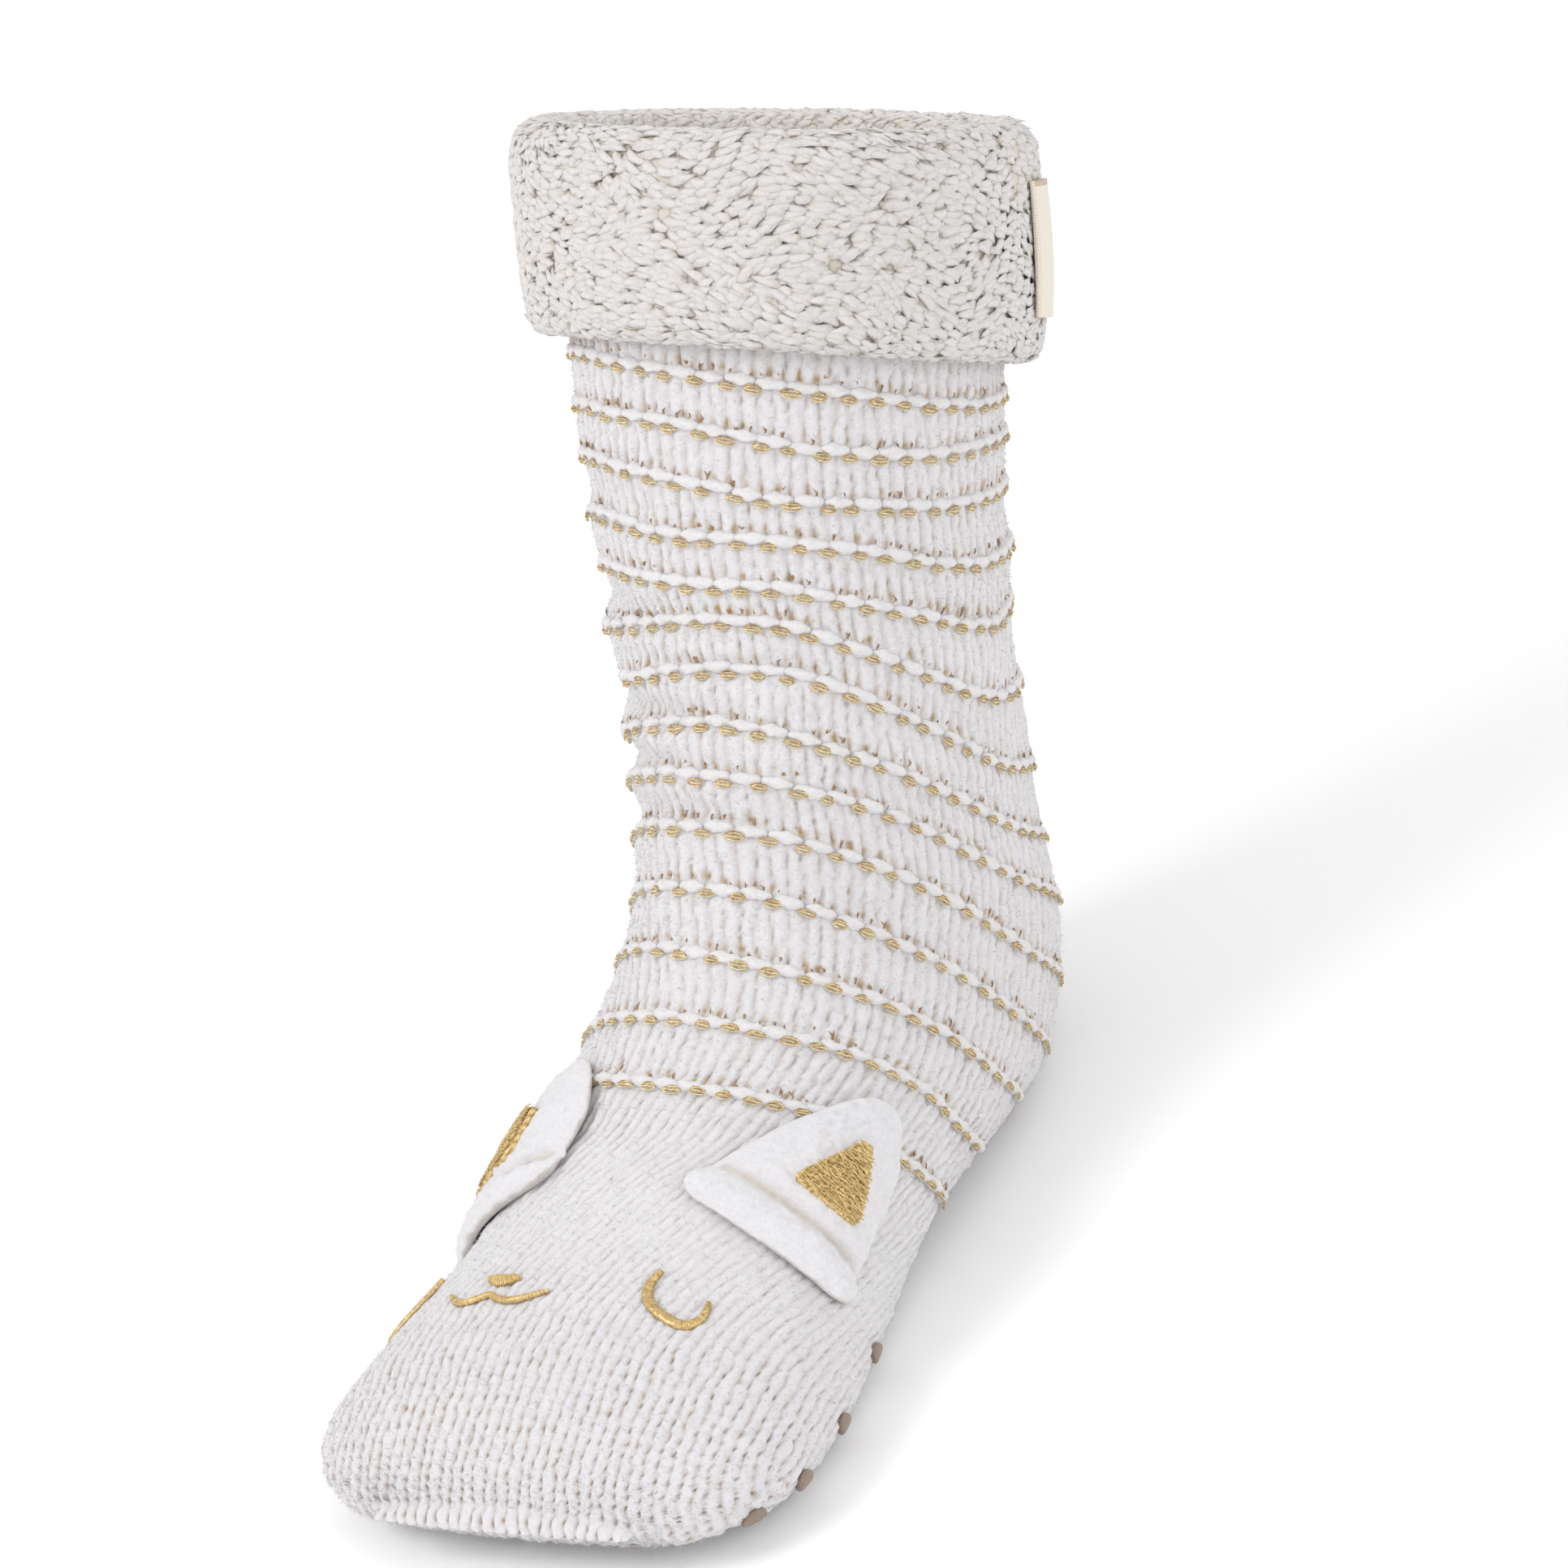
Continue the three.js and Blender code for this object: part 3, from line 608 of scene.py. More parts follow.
def strand(path, radius, rounds=3):
    """A thin closed thread along a path."""
    path = np.asarray(path, float)
    ahead = unit(np.gradient(path, axis=0))
    side = unit(np.cross(ahead, (0.13, 0.21, 0.97)))
    over = np.cross(side, ahead)
    turns = np.arange(rounds) / rounds * 2 * np.pi
    thin = radius * np.concatenate([[0.45], np.ones(len(path) - 2), [0.45]])[:, None, None]
    rings = path[:, None] + thin * (np.cos(turns)[None, :, None] * side[:, None]
                                    + np.sin(turns)[None, :, None] * over[:, None])
    faces = [tuple(f) for f in tube_faces(len(path), rounds)[:, ::-1]]
    faces.append(tuple(range(rounds)))
    faces.append(tuple(range(len(path) * rounds - 1, (len(path) - 1) * rounds - 1, -1)))
    return rings.reshape(-1, 3), faces


def joined(parts):
    points, faces, tips = [], [], []
    for some_points, some_faces, tip in parts:
        start = sum(len(p) for p in points)
        points.append(some_points)
        faces += [tuple(i + start for i in f) for f in some_faces]
        tips += [tip] * len(some_points)
    return np.concatenate(points), faces, tips


def gold_bundle(seed):
    """Six thin metallic threads side by side in a flat almond, one unit long."""
    draw = np.random.default_rng(seed)
    parts = []
    for number in range(6):
        t = np.linspace(-1, 1, 5)
        level = (number - 2.5) / 2.5
        bulge = 1 - 0.85 * np.abs(t) ** 2.4
        y = 0.46 * level * bulge + 0.05 * np.sin(3 * t + draw.random() * 6)
        z = 0.42 * bulge * (1 - 0.45 * level ** 2) + 0.07 * np.cos(4 * t + draw.random() * 6)
        x = 0.5 * t * (0.85 + 0.2 * draw.random())
        # Painted highlight and shade: every other thread is mixed towards the dark colour, and the rest stay light.
        parts.append((*strand(np.stack([x, y, z], -1), 0.07), 0.9 * (number % 2) + 0.1 * draw.random()))
    return joined(parts)


def loose_end(seed):
    """A small fuzzy knot of short threads that stand across the stripe."""
    draw = np.random.default_rng(seed)
    parts = []
    for number in range(4):
        start = np.array([draw.normal(0, 0.22), -0.45 + draw.normal(0, 0.08), 0])
        end = np.array([draw.normal(0, 0.22), 0.45 + draw.normal(0, 0.1), 0.1 + abs(draw.normal(0, 0.2))])
        path = [start, (start + end) / 2 + (draw.normal(0, 0.12), 0, 0.4), end]
        parts.append((*strand(path, 0.1), draw.random()))
    return joined(parts)


# Gold thread: a plastic film coated with metal, cut to a flat ribbon and twisted. It glints unevenly: a fine noise
# and the tip attribute mix painted glints and painted shade into its colour, on top of its own metallic gloss.
def thread_material(name, light, dark, metal, rough):
    made, tree = new_material(name)
    where = node(tree, "ShaderNodeTexCoord").outputs["Object"]
    tip = node(tree, "ShaderNodeAttribute", {"attribute_name": "tip"}).outputs["Fac"]
    glint = node(tree, "ShaderNodeTexNoise", Vector=where, Scale=1500.0, Detail=2.0).outputs["Fac"]
    amount = node(tree, "ShaderNodeMath", {"operation": "MULTIPLY_ADD", "use_clamp": True}, _0=glint,
                  _1=1.4, _2=-0.45).outputs[0]
    mixed = node(tree, "ShaderNodeMath", {"operation": "MULTIPLY_ADD", "use_clamp": True}, _0=tip, _1=0.55,
                 _2=amount).outputs[0]
    # Painted glints and painted shade: the noise and the tip value mix the light and the dark gold into the colour.
    colour = node(tree, "ShaderNodeMix", {"data_type": "RGBA"}, _0=mixed, _6=linear(light),
                  _7=linear(dark)).outputs[2]
    bump = node(tree, "ShaderNodeBump", Strength=0.5, Distance=0.0001, Height=glint).outputs[0]
    finish_material(tree, node(tree, "ShaderNodeBsdfPrincipled", Base_Color=colour, Metallic=metal,
                               Roughness=rough, Normal=bump))
    return made


gold_thread = thread_material("gold_metallic_thread", "#fff2c0", "#a5762f", 0.3, 0.3)
dull_thread = thread_material("dull_thread_ends", "#c4a06a", "#866648", 0.15, 0.7)
bar_count = 45
draw = np.random.default_rng(21)
rows = {"bars": [], "golds": [], "ends": []}
for stripe in range(len(stripe_chart)):
    knots = (np.arange(bar_count) + draw.normal(0, 0.06, bar_count)) / bar_count
    rows["golds"].append(stripe_frame(stripe, knots, -0.0002 + draw.normal(0, 0.0001, bar_count), 0.0003))
    rows["bars"].append(stripe_frame(stripe, (np.arange(bar_count) + 0.5) / bar_count,
                                     0.0012 + draw.normal(0, 0.00015, bar_count), -0.0003))
    ribs = (np.arange(rib_count) + 0.5 + draw.normal(0, 0.1, rib_count)) / rib_count
    rows["ends"].append(stripe_frame(stripe, ribs, 0.0031 + draw.normal(0, 0.0004, rib_count), -0.0005))


def stripe_piece(name, key, shapes, material, size_of, part_of):
    spots = np.concatenate([r[0] for r in rows[key]])
    turns = np.concatenate([r[1] for r in rows[key]])
    keep = np.concatenate([r[2] for r in rows[key]]) & (draw.random(len(spots)) < part_of)
    spots, turns = spots[keep], turns[keep]
    sizes = size_of(len(spots))
    made = spread(name, spots, turns, sizes, draw.integers(0, len(shapes), len(spots)), shapes, material)
    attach(made, "root")
    return made


def varied(length, width, height, spread_by):
    def sizes(count):
        return np.stack([length * draw.uniform(1 - spread_by, 1 + spread_by, count),
                         width * draw.uniform(1 - spread_by, 1 + spread_by, count),
                         height * draw.uniform(1 - spread_by, 1 + spread_by, count)], -1)
    return sizes


bar_wool = pile_material("white_chenille_bars", "#efedf0", "#c6b79d", "tip", 0.0007, 0.35)
stripe_piece("stripe_bars", "bars", [bar_shape(s) for s in (0.3, 1.9, 4.1)], bar_wool,
             varied(0.0070, 0.0027, 0.0026, 0.1), 1.0)
stripe_piece("stripe_gold", "golds", [gold_bundle(s) for s in (1, 2, 3, 4)], gold_thread,
             varied(0.0038, 0.0019, 0.0021, 0.14), 1.0)
stripe_piece("stripe_thread_ends", "ends", [loose_end(s) for s in (5, 6, 7)], dull_thread,
             varied(0.0012, 0.0018, 0.0010, 0.45), 0.75)

# Nap. Fine fibre ends standing out of the chenille all over, which soften its outline.
fibre_count = 42000
draw = np.random.default_rng(77)
place = 0.6 + 13.3 * (np.arange(fibre_count) * 0.7548776662 % 1)
share = (np.arange(fibre_count) * 0.5698402910 + draw.normal(0, 0.003, fibre_count)) % 1
roots, _ = knit_points(place, share)
angle = rib_angle(place, share)
standing = outward(place, angle)
keep = (roots[:, 2] > 0.003) & (draw.random(fibre_count) < 0.95)
leaning = unit(standing * 0.8 + draw.normal(0, 0.7, (fibre_count, 3)))
turns = facing(leaning[keep], unit(np.cross(leaning, draw.normal(0, 1, (fibre_count, 3))))[keep])
spike = (np.array([(0, 0.5, 0), (0, -0.25, 0.43), (0, -0.25, -0.43), (1, 0.1, 0.2)]),
         [(0, 2, 1), (0, 1, 3), (1, 2, 3), (2, 0, 3)], [0, 0, 0, 0])
sizes = np.stack([draw.uniform(0.0007, 0.0016, fibre_count), np.full(fibre_count, 0.00014),
                  np.full(fibre_count, 0.00014)], -1)[keep]
fibre = pile_material("fibre_ends", "#eceaed", "#c6b79d", "tip", 0.0008, 0.4)
nap = spread("nap_fibres", (roots - standing * 0.0001)[keep], turns, sizes, np.zeros(keep.sum()), [spike], fibre)
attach(nap, "root")

# Cuff. A band of curly fleece sewn to the rim and turned down over the leg: a backing cloth with wispy
# locks of pile that lie mostly sideways. The backing is tinted a warmer beige than the locks, as painted shade in
# the gaps between them.
cuff_outline = [
    (46.5, 2.6), (44, 0.3), (24, 0.3), (4, 0.3), (-0.3, 0.3), (-0.3, -2.7), (5, -2.7), (16, -2.7),
    (17.5, -4.2), (16, -6.0), (5, -6.3), (-2.6, -5.2), (-5.2, 0), (-5.4, 3.4), (-3, 6.8), (3, 8.4), (18, 8.6),
    (34, 8.4), (42, 7.6), (46.4, 5.2),
]
ring_angles = np.arange(180) / 180 * 2 * np.pi


def section_middle(place):
    return lifted(np.full(180, place), ring_angles, np.zeros(180)).mean(0)


rim_axis = unit(section_middle(0) - section_middle(0.5))
row_length = np.linalg.norm(section_middle(0) - section_middle(1))


cuff_hang = 0.925
cuff_skew = 0.184
cuff_lowest = 2.98


def cuff_point(angle, down, out):
    hang = cuff_hang + cuff_skew * np.cos(angle - cuff_lowest)
    base = lifted(np.maximum(down, 0) * hang / row_length, angle, out)
    return base + rim_axis * np.maximum(-down, 0)[..., None]


def smooth_loop(corners, count):
    """Even points on a smooth closed line through the corners."""
    corners = np.asarray(corners, float)
    n = len(corners)
    t = np.arange(n * 12) / 12
    i = t.astype(int)
    f = (t - i)[:, None]
    a, b, c, d = (corners[(i + k) % n] for k in (-1, 0, 1, 2))
    line = 0.5 * (2 * b + (c - a) * f + (2 * a - 5 * b + 4 * c - d) * f * f + (3 * b - a - 3 * c + d) * f ** 3)
    line = np.concatenate([line, line[:1]])
    length = np.concatenate([[0], np.cumsum(np.linalg.norm(np.diff(line, axis=0), axis=1))])
    even = np.linspace(0, length[-1], count, endpoint=False)
    return np.stack([np.interp(even, length, line[:, k]) for k in (0, 1)], -1), length[-1]


profile, profile_length = smooth_loop(np.array(cuff_outline) * 0.001, 110)
down, angle = np.broadcast_arrays(profile[:, 0][:, None], (np.arange(240) / 240 * 2 * np.pi)[None, :])
out = np.broadcast_to(profile[:, 1][:, None], down.shape)
cuff_cloth_sink = 0.0005
sunk = np.where(out > 0.004, out - cuff_cloth_sink, out)
cuff_points = cuff_point(angle, down, sunk)
outer_part = np.clip((out - 0.002) / 0.004, 0, 1)[..., None]
cuff_points = cuff_points + outer_part * outward(np.maximum(down, 0) / row_length, angle) * (
    0.0006 * fluff(cuff_points, 0.006) + 0.0004 * fluff(cuff_points, 0.003, 2.2))[..., None]
# Painted shade: the backing's warm beige tint stands for the shade in the gaps between the locks.
fleece_cloth = pile_material("fleece_backing", "#e6dfd6", "#dccfbd", "shade", 0.0008, 0.2)
cuff = new_piece("cuff_cloth", cuff_points.reshape(-1, 3), tube_faces(110, 240, closed=True), fleece_cloth)
cuff.data.attributes.new("shade", "FLOAT", "POINT").data.foreach_set(
    "value", np.full(110 * 240, 0.4, np.float32))
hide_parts("cuff")
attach(cuff, "root")


def lock_shape(seed):
    """One wisp of fleece: it rises from the cloth, bends over and runs out to a point, one unit long."""
    draw = np.random.default_rng(seed)
    t = np.array([0.0, 0.22, 0.48, 0.74])
    bend = draw.normal(0, 0.2)
    path = np.stack([t * 1.0 - 0.1, bend * np.sin(3 * t + seed), 0.45 * np.sin(np.pi * (0.12 + 0.72 * t))], -1)
    widths = np.array([0.4, 0.5, 0.46, 0.3])
    rounds = 5
    turns = np.arange(rounds) / rounds * 2 * np.pi
    points = []
    for centre, width in zip(path, widths):
        for number, turn in enumerate(turns):
            lump = 1 + 0.18 * math.sin(2.3 * number + 9 * centre[0] + seed)
            points.append((centre[0], centre[1] + width * lump * math.cos(turn),
                           centre[2] + 0.55 * width * lump * math.sin(turn)))
    points += [(-0.2, path[0][1], 0.0), (1.0, path[3][1] + bend * 0.6, 0.3)]
    faces = [tuple(f) for f in tube_faces(4, rounds)[:, ::-1]]
    for spot in range(rounds):
        beside = (spot + 1) % rounds
        faces.append((len(points) - 2, beside, spot))
        faces.append((len(points) - 1, 3 * rounds + spot, 3 * rounds + beside))
    # Painted shade: the root end of each lock, where it leaves the cloth, is mixed towards beige, and the middle and
    # the point stay nearly light.
    tips = np.concatenate([np.repeat([0.75, 0.25, 0.05, 0.1], rounds), [0.9, 0.2]])
    return np.array(points), faces, tips


def fleece_locks(name, count, low, high, seed):
    """Locks on the stretch of the cuff's outline from low to high, in shares of its length."""
    draw = np.random.default_rng(seed)
    where = low + (high - low) * (np.arange(count) * 0.7548776662 % 1)
    angle = 2 * np.pi * (np.arange(count) * 0.5698402910 % 1) + draw.normal(0, 0.006, count)
    index = where * len(profile)
    lower = index.astype(int) % len(profile)
    upper = (lower + 1) % len(profile)
    part = (index - np.floor(index))[:, None]
    spot = profile[lower] * (1 - part) + profile[upper] * part
    ahead = unit(profile[upper] - profile[lower])
    points = cuff_point(angle, spot[:, 0], spot[:, 1])
    downwards = unit(cuff_point(angle, spot[:, 0] + ahead[:, 0] * 1e-3, spot[:, 1] + ahead[:, 1] * 1e-3) - points)
    sideways = unit(cuff_point(angle + 0.01, spot[:, 0], spot[:, 1]) - points)
    normal = unit(np.cross(downwards, sideways))
    centre = cuff_point(angle, spot[:, 0], np.full(count, 0.001))
    middle_out = np.where(spot[:, 1] < -0.002, -1.0, 1.0)
    outer = unit(points - centre) * middle_out[:, None]
    normal = np.where((normal * outer).sum(-1, keepdims=True) < 0, -normal, normal)
    flow = 1.5 * fluff(points, 0.022, 6.0) + 0.8 * fluff(points, 0.009, 1.0) + draw.normal(0, 0.28, count)
    sense = np.where(fluff(points, 0.03, 12.0) + draw.normal(0, 0.35, count) > -0.1, 1.0, -1.0)
    lengthwise = (np.cos(flow * 0.5) * sense)[:, None] * sideways + np.sin(flow * 0.5)[:, None] * downwards
    lengths = draw.uniform(0.0038, 0.0064, count)
    widths = draw.uniform(0.0021, 0.0030, count)
    sizes = np.stack([lengths, widths, draw.uniform(0.0014, 0.0020, count)], -1)
    seated = points - normal * 0.0006
    made = spread(name, seated, np.array(facing(lengthwise, normal)), sizes, draw.integers(0, 4, count),
                  [lock_shape(s) for s in range(4)], fleece_pile)
    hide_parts("cuff")
    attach(made, "root")
    return made


fleece_pile = pile_material("fleece_locks", "#e6e2e0", "#dfd2c3", "tip", 0.0007, 0.4)
outline_length = np.concatenate([[0], np.cumsum(np.linalg.norm(np.diff(profile, axis=0), axis=1))])
fold_start = np.argmax(profile[:, 0] < -0.003) / len(profile)
fleece_locks("cuff_locks_outer", 4900, fold_start + 0.02, 0.995, 31)
fleece_locks("cuff_locks_inner", 1700, 0.43, fold_start + 0.02, 32)

# Side tape. A folded loop of narrow woven ribbon sewn into the cuff's side seam, with a bare face.
tape_turn = 1.86
tape_width = 0.013
tape_top = 0.006
tape_drop = 0.029
tape_out = 0.009
tape_rows, tape_columns = 60, 28
share, side = np.meshgrid(np.linspace(0, 1, tape_rows), np.linspace(-0.5, 0.5, tape_columns), indexing="ij")
down = tape_top + share * tape_drop
turn = np.full(down.shape, tape_turn)
base = cuff_point(turn, down, np.full(down.shape, tape_out))
outer_way = unit(cuff_point(turn, down, np.full(down.shape, tape_out + 0.001)) - base)
ahead = cuff_point(turn - 0.05, down, np.full(down.shape, tape_out)) - base
ahead = unit(ahead - (ahead * outer_way).sum(-1, keepdims=True) * outer_way)
bulge = 0.0006 * np.sin(np.pi * share) + 0.0005 * (1 - (2 * side) ** 2)
front = base + ahead * (side * tape_width)[..., None] + outer_way * (0.0011 + bulge)[..., None]
rear = base + ahead * (side * tape_width)[..., None] + outer_way * (bulge * 0.4 + 0.0001)[..., None]
loop = np.concatenate([front, rear[:, ::-1]], axis=1)
tape_faces = [tuple(f) for f in tube_faces(tape_rows, tape_columns * 2)]
tape_faces.append(tuple(range(tape_columns * 2)))
tape_faces.append(tuple(range(tape_rows * tape_columns * 2 - 1, (tape_rows - 1) * tape_columns * 2 - 1, -1)))

# Woven ribbon: cream polyester in a fine herringbone of about 0.35 mm, smooth with a soft gloss.
ribbon, tree = new_material("cream_woven_ribbon")
sheet_map = node(tree, "ShaderNodeUVMap", {"uv_map": "weave"}).outputs[0]
parts = node(tree, "ShaderNodeSeparateXYZ", Vector=sheet_map)
zigzag = node(tree, "ShaderNodeMath", {"operation": "PINGPONG"}, _0=parts.outputs[0], _1=0.0011).outputs[0]
rising = node(tree, "ShaderNodeMath", {"operation": "ADD"}, _0=parts.outputs[1], _1=zigzag).outputs[0]
beat = node(tree, "ShaderNodeMath", {"operation": "MULTIPLY"}, _0=rising, _1=2 * math.pi / 0.0005).outputs[0]
weave = node(tree, "ShaderNodeMath", {"operation": "SINE"}, _0=beat).outputs[0]
tone = node(tree, "ShaderNodeMapRange", Value=weave, From_Min=-1.0, From_Max=1.0).outputs[0]
colour = node(tree, "ShaderNodeMix", {"data_type": "RGBA"}, _0=tone, _6=linear("#d9cfbd"),
              _7=linear("#efe8dc")).outputs[2]
top_band = node(tree, "ShaderNodeMath", {"operation": "LESS_THAN"}, _0=parts.outputs[1], _1=0.0012).outputs[0]
stitch_beat = node(tree, "ShaderNodeMath", {"operation": "MULTIPLY"}, _0=parts.outputs[0],
                   _1=2 * math.pi / 0.0011).outputs[0]
stitch_wave = node(tree, "ShaderNodeMath", {"operation": "SINE"}, _0=stitch_beat).outputs[0]
stitch_mask = node(tree, "ShaderNodeMath", {"operation": "GREATER_THAN"}, _0=stitch_wave, _1=-0.35).outputs[0]
gold_mask = node(tree, "ShaderNodeMath", {"operation": "MULTIPLY"}, _0=top_band, _1=stitch_mask).outputs[0]
colour = node(tree, "ShaderNodeMix", {"data_type": "RGBA"}, _0=gold_mask, _6=colour,
              _7=linear("#a5803f")).outputs[2]
bump = node(tree, "ShaderNodeBump", Strength=0.4, Distance=0.00012, Height=weave).outputs[0]
finish_material(tree, node(tree, "ShaderNodeBsdfPrincipled", Base_Color=colour, Roughness=0.55,
                           Sheen_Weight=0.2, Normal=bump))
tape = new_piece("side_tape", loop.reshape(-1, 3), tape_faces, ribbon)
across = np.concatenate([side, side[:, ::-1]], axis=1) * tape_width + tape_width
drop = np.concatenate([share, share], axis=1) * tape_drop
uv = tape.data.uv_layers.new(name="weave")
corner = np.empty(len(tape.data.loops), np.int32)
tape.data.loops.foreach_get("vertex_index", corner)
uv.data.foreach_set("uv", np.stack([across.ravel()[corner], drop.ravel()[corner]], -1).ravel())
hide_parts("tape")
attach(tape, "root")

# Ears. Two plump triangles of short plush, folded and sewn to the instep along the base, where the fold
# makes a roll. They lie back against the foot with their tips up the leg.
ear_inner = np.array([9.76, 22.0])
ear_outer = np.array([10.3, 87.0])
ear_tip = np.array([8.5, 48.0])
ear_thick = 0.004
ear_gap = 0.0008
roll_share = 0.2
ear_edge = np.array([
    (0.25, -0.03), (0.5, -0.04), (0.75, -0.03), (0.97, 0), (1.03, 0.07), (0.99, 0.18), (0.94, 0.32),
    (0.87, 0.5), (0.78, 0.68), (0.68, 0.85), (0.6, 0.95), (0.5, 1), (0.4, 0.95), (0.32, 0.85), (0.22, 0.68),
    (0.13, 0.5), (0.06, 0.32), (0.01, 0.18), (-0.03, 0.07), (0.03, 0),
])


def ear_spot(base, height):
    """Place and angle in degrees of a spot on the ear, from its shares of the base and of the height."""
    foot_point = ear_inner + (ear_outer - ear_inner) * base[..., None]
    return foot_point + (ear_tip - (ear_inner + ear_outer) / 2) * height[..., None]


def face_angle(place, hand, degrees):
    """Skin angle of a spot on the face, turned with the ribs. Hand is 1 or -1, for the wearer's left or right."""
    return np.radians(hand * degrees + along(place)[..., 11])


plush = pile_material("short_white_plush", "#e9e7ea", "#c6b59a", "shade", 0.0008, 0.4)
for name, hand in (("ear_left", 1), ("ear_right", -1)):
    edge, _ = smooth_loop(ear_edge, 150)
    middle = np.array([0.5, 0.36])
    steps = np.concatenate([np.linspace(0.1, 0.96, 12), np.cos(np.linspace(0, 0.5 * np.pi, 44))])
    lifts = np.concatenate([np.zeros(12), np.sin(np.linspace(0.12, 0.5 * np.pi, 44))])
    steps[12:] = 1 - (1 - steps[12:]) * 1.0
    base = middle[0] + (edge[:, 0] - middle[0])[None, :] * steps[:, None]
    tall = middle[1] + (edge[:, 1] - middle[1])[None, :] * steps[:, None]
    spot = ear_spot(base, tall)
    roll = 1 - 0.5 * np.exp(-((tall - roll_share) / 0.045) ** 2) + 0.3 * np.exp(-((tall - 0.07) / 0.07) ** 2)
    puff = lifts[:, None] ** 0.6 * roll
    rough_points = lifted(spot[..., 0], face_angle(spot[..., 0], hand, spot[..., 1]), np.zeros(base.shape))
    nap = 0.0004 * fluff(rough_points, 0.0022, 1.3) + 0.0004 * fluff(rough_points, 0.001, 8.1)
    height = ear_gap + puff * ear_thick + np.where(lifts[:, None] > 0.1, nap, 0)
    rings = lifted(spot[..., 0], face_angle(spot[..., 0], hand, spot[..., 1]), height)
    points = np.concatenate([rings.reshape(-1, 3), [rings[0].mean(0), rings[-1].mean(0)]])
    faces = [tuple(f) for f in tube_faces(len(steps), 150)]
    for spot_number in range(150):
        beside = (spot_number + 1) % 150
        faces.append((len(points) - 2, spot_number, beside))
        faces.append((len(points) - 1, (len(steps) - 1) * 150 + beside, (len(steps) - 1) * 150 + spot_number))
    if hand < 0:
        faces = [f[::-1] for f in faces]
    ear = new_piece(name + "_plush", points, faces, plush)
    # Painted shade: the plush is mixed towards beige in the crease of the roll and on the flat rings of the
    # underside that lie against the foot.
    shade = 0.55 * np.exp(-((tall - roll_share) / 0.02) ** 2) * (lifts[:, None] > 0.5) + 0.4 * (lifts[:, None] < 0.2)
    ear.data.attributes.new("shade", "FLOAT", "POINT").data.foreach_set(
        "value", np.concatenate([shade.ravel(), [0.4, 0]]).astype(np.float32))
    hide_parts(name)
    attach(ear, "root")

# Embroidery. The face and the ear patches are satin stitch in the same gold thread: fine threads laid
# side by side across each shape, raised a little in the middle.
stitch_thick = 0.0009
satin_pitch = 0.00042
satin = thread_material("gold_satin_stitch", "#f8dfa2", "#9c7638", 0.35, 0.36)
stitch_gap = 0.0005
triangle = np.array([(0.4, 0.3), (0.56, 0.29), (0.72, 0.3), (0.76, 0.34), (0.7, 0.44), (0.62, 0.55), (0.54, 0.65),
                     (0.48, 0.65), (0.44, 0.55), (0.4, 0.44), (0.37, 0.34)])
for name, hand in (("ear_stitch_left", 1), ("ear_stitch_right", -1)):
    edge, _ = smooth_loop(triangle, 90)
    middle = np.array([0.53, 0.42])
    steps = np.concatenate([[0.5], np.ones(3), np.linspace(0.97, 0.05, 22)])
    lifts = np.concatenate([[0, 0, 0.35, 0.7], np.linspace(0.85, 1.0, 22)])
    base = middle[0] + (edge[:, 0] - middle[0])[None, :] * steps[:, None]
    tall = middle[1] + (edge[:, 1] - middle[1])[None, :] * steps[:, None]
    spot = ear_spot(base, tall)
    ridge = np.sin(2 * np.pi * base * 0.038 / satin_pitch * 0.5 + 3 * tall)
    height = (ear_gap + ear_thick - 0.0006 + lifts[:, None] * (stitch_gap + stitch_thick + 0.0002)
              + 0.00012 * ridge * (lifts[:, None] > 0.5))
    rings = lifted(spot[..., 0], face_angle(spot[..., 0], hand, spot[..., 1]), height)
    points = np.concatenate([rings.reshape(-1, 3), [rings[0].mean(0), rings[-1].mean(0)]])
    faces = [tuple(f) for f in tube_faces(len(steps), 90)]
    for spot_number in range(90):
        beside = (spot_number + 1) % 90
        faces.append((len(points) - 2, spot_number, beside))
        faces.append((len(points) - 1, (len(steps) - 1) * 90 + beside, (len(steps) - 1) * 90 + spot_number))
    if hand < 0:
        faces = [f[::-1] for f in faces]
    patch = new_piece(name + "_satin", points, faces, satin)
    # Painted highlight and shade: the tops of the satin ridges are mixed light and the grooves between them dark.
    patch.data.attributes.new("tip", "FLOAT", "POINT").data.foreach_set(
        "value", np.concatenate([(0.5 - 0.5 * ridge).ravel(), [0.3, 0.3]]).astype(np.float32))
    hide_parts(name)
    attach(patch, "root")


# Short glittering stitches in ragged rows over each triangle.
def stitch_shape(seed):
    draw = np.random.default_rng(seed)
    t = np.linspace(-0.5, 0.5, 4)
    path = np.stack([t, draw.normal(0, 0.06, 4), 0.4 * np.cos(np.pi * t)], -1)
    return joined([(*strand(path, 0.4, 4), draw.random())])


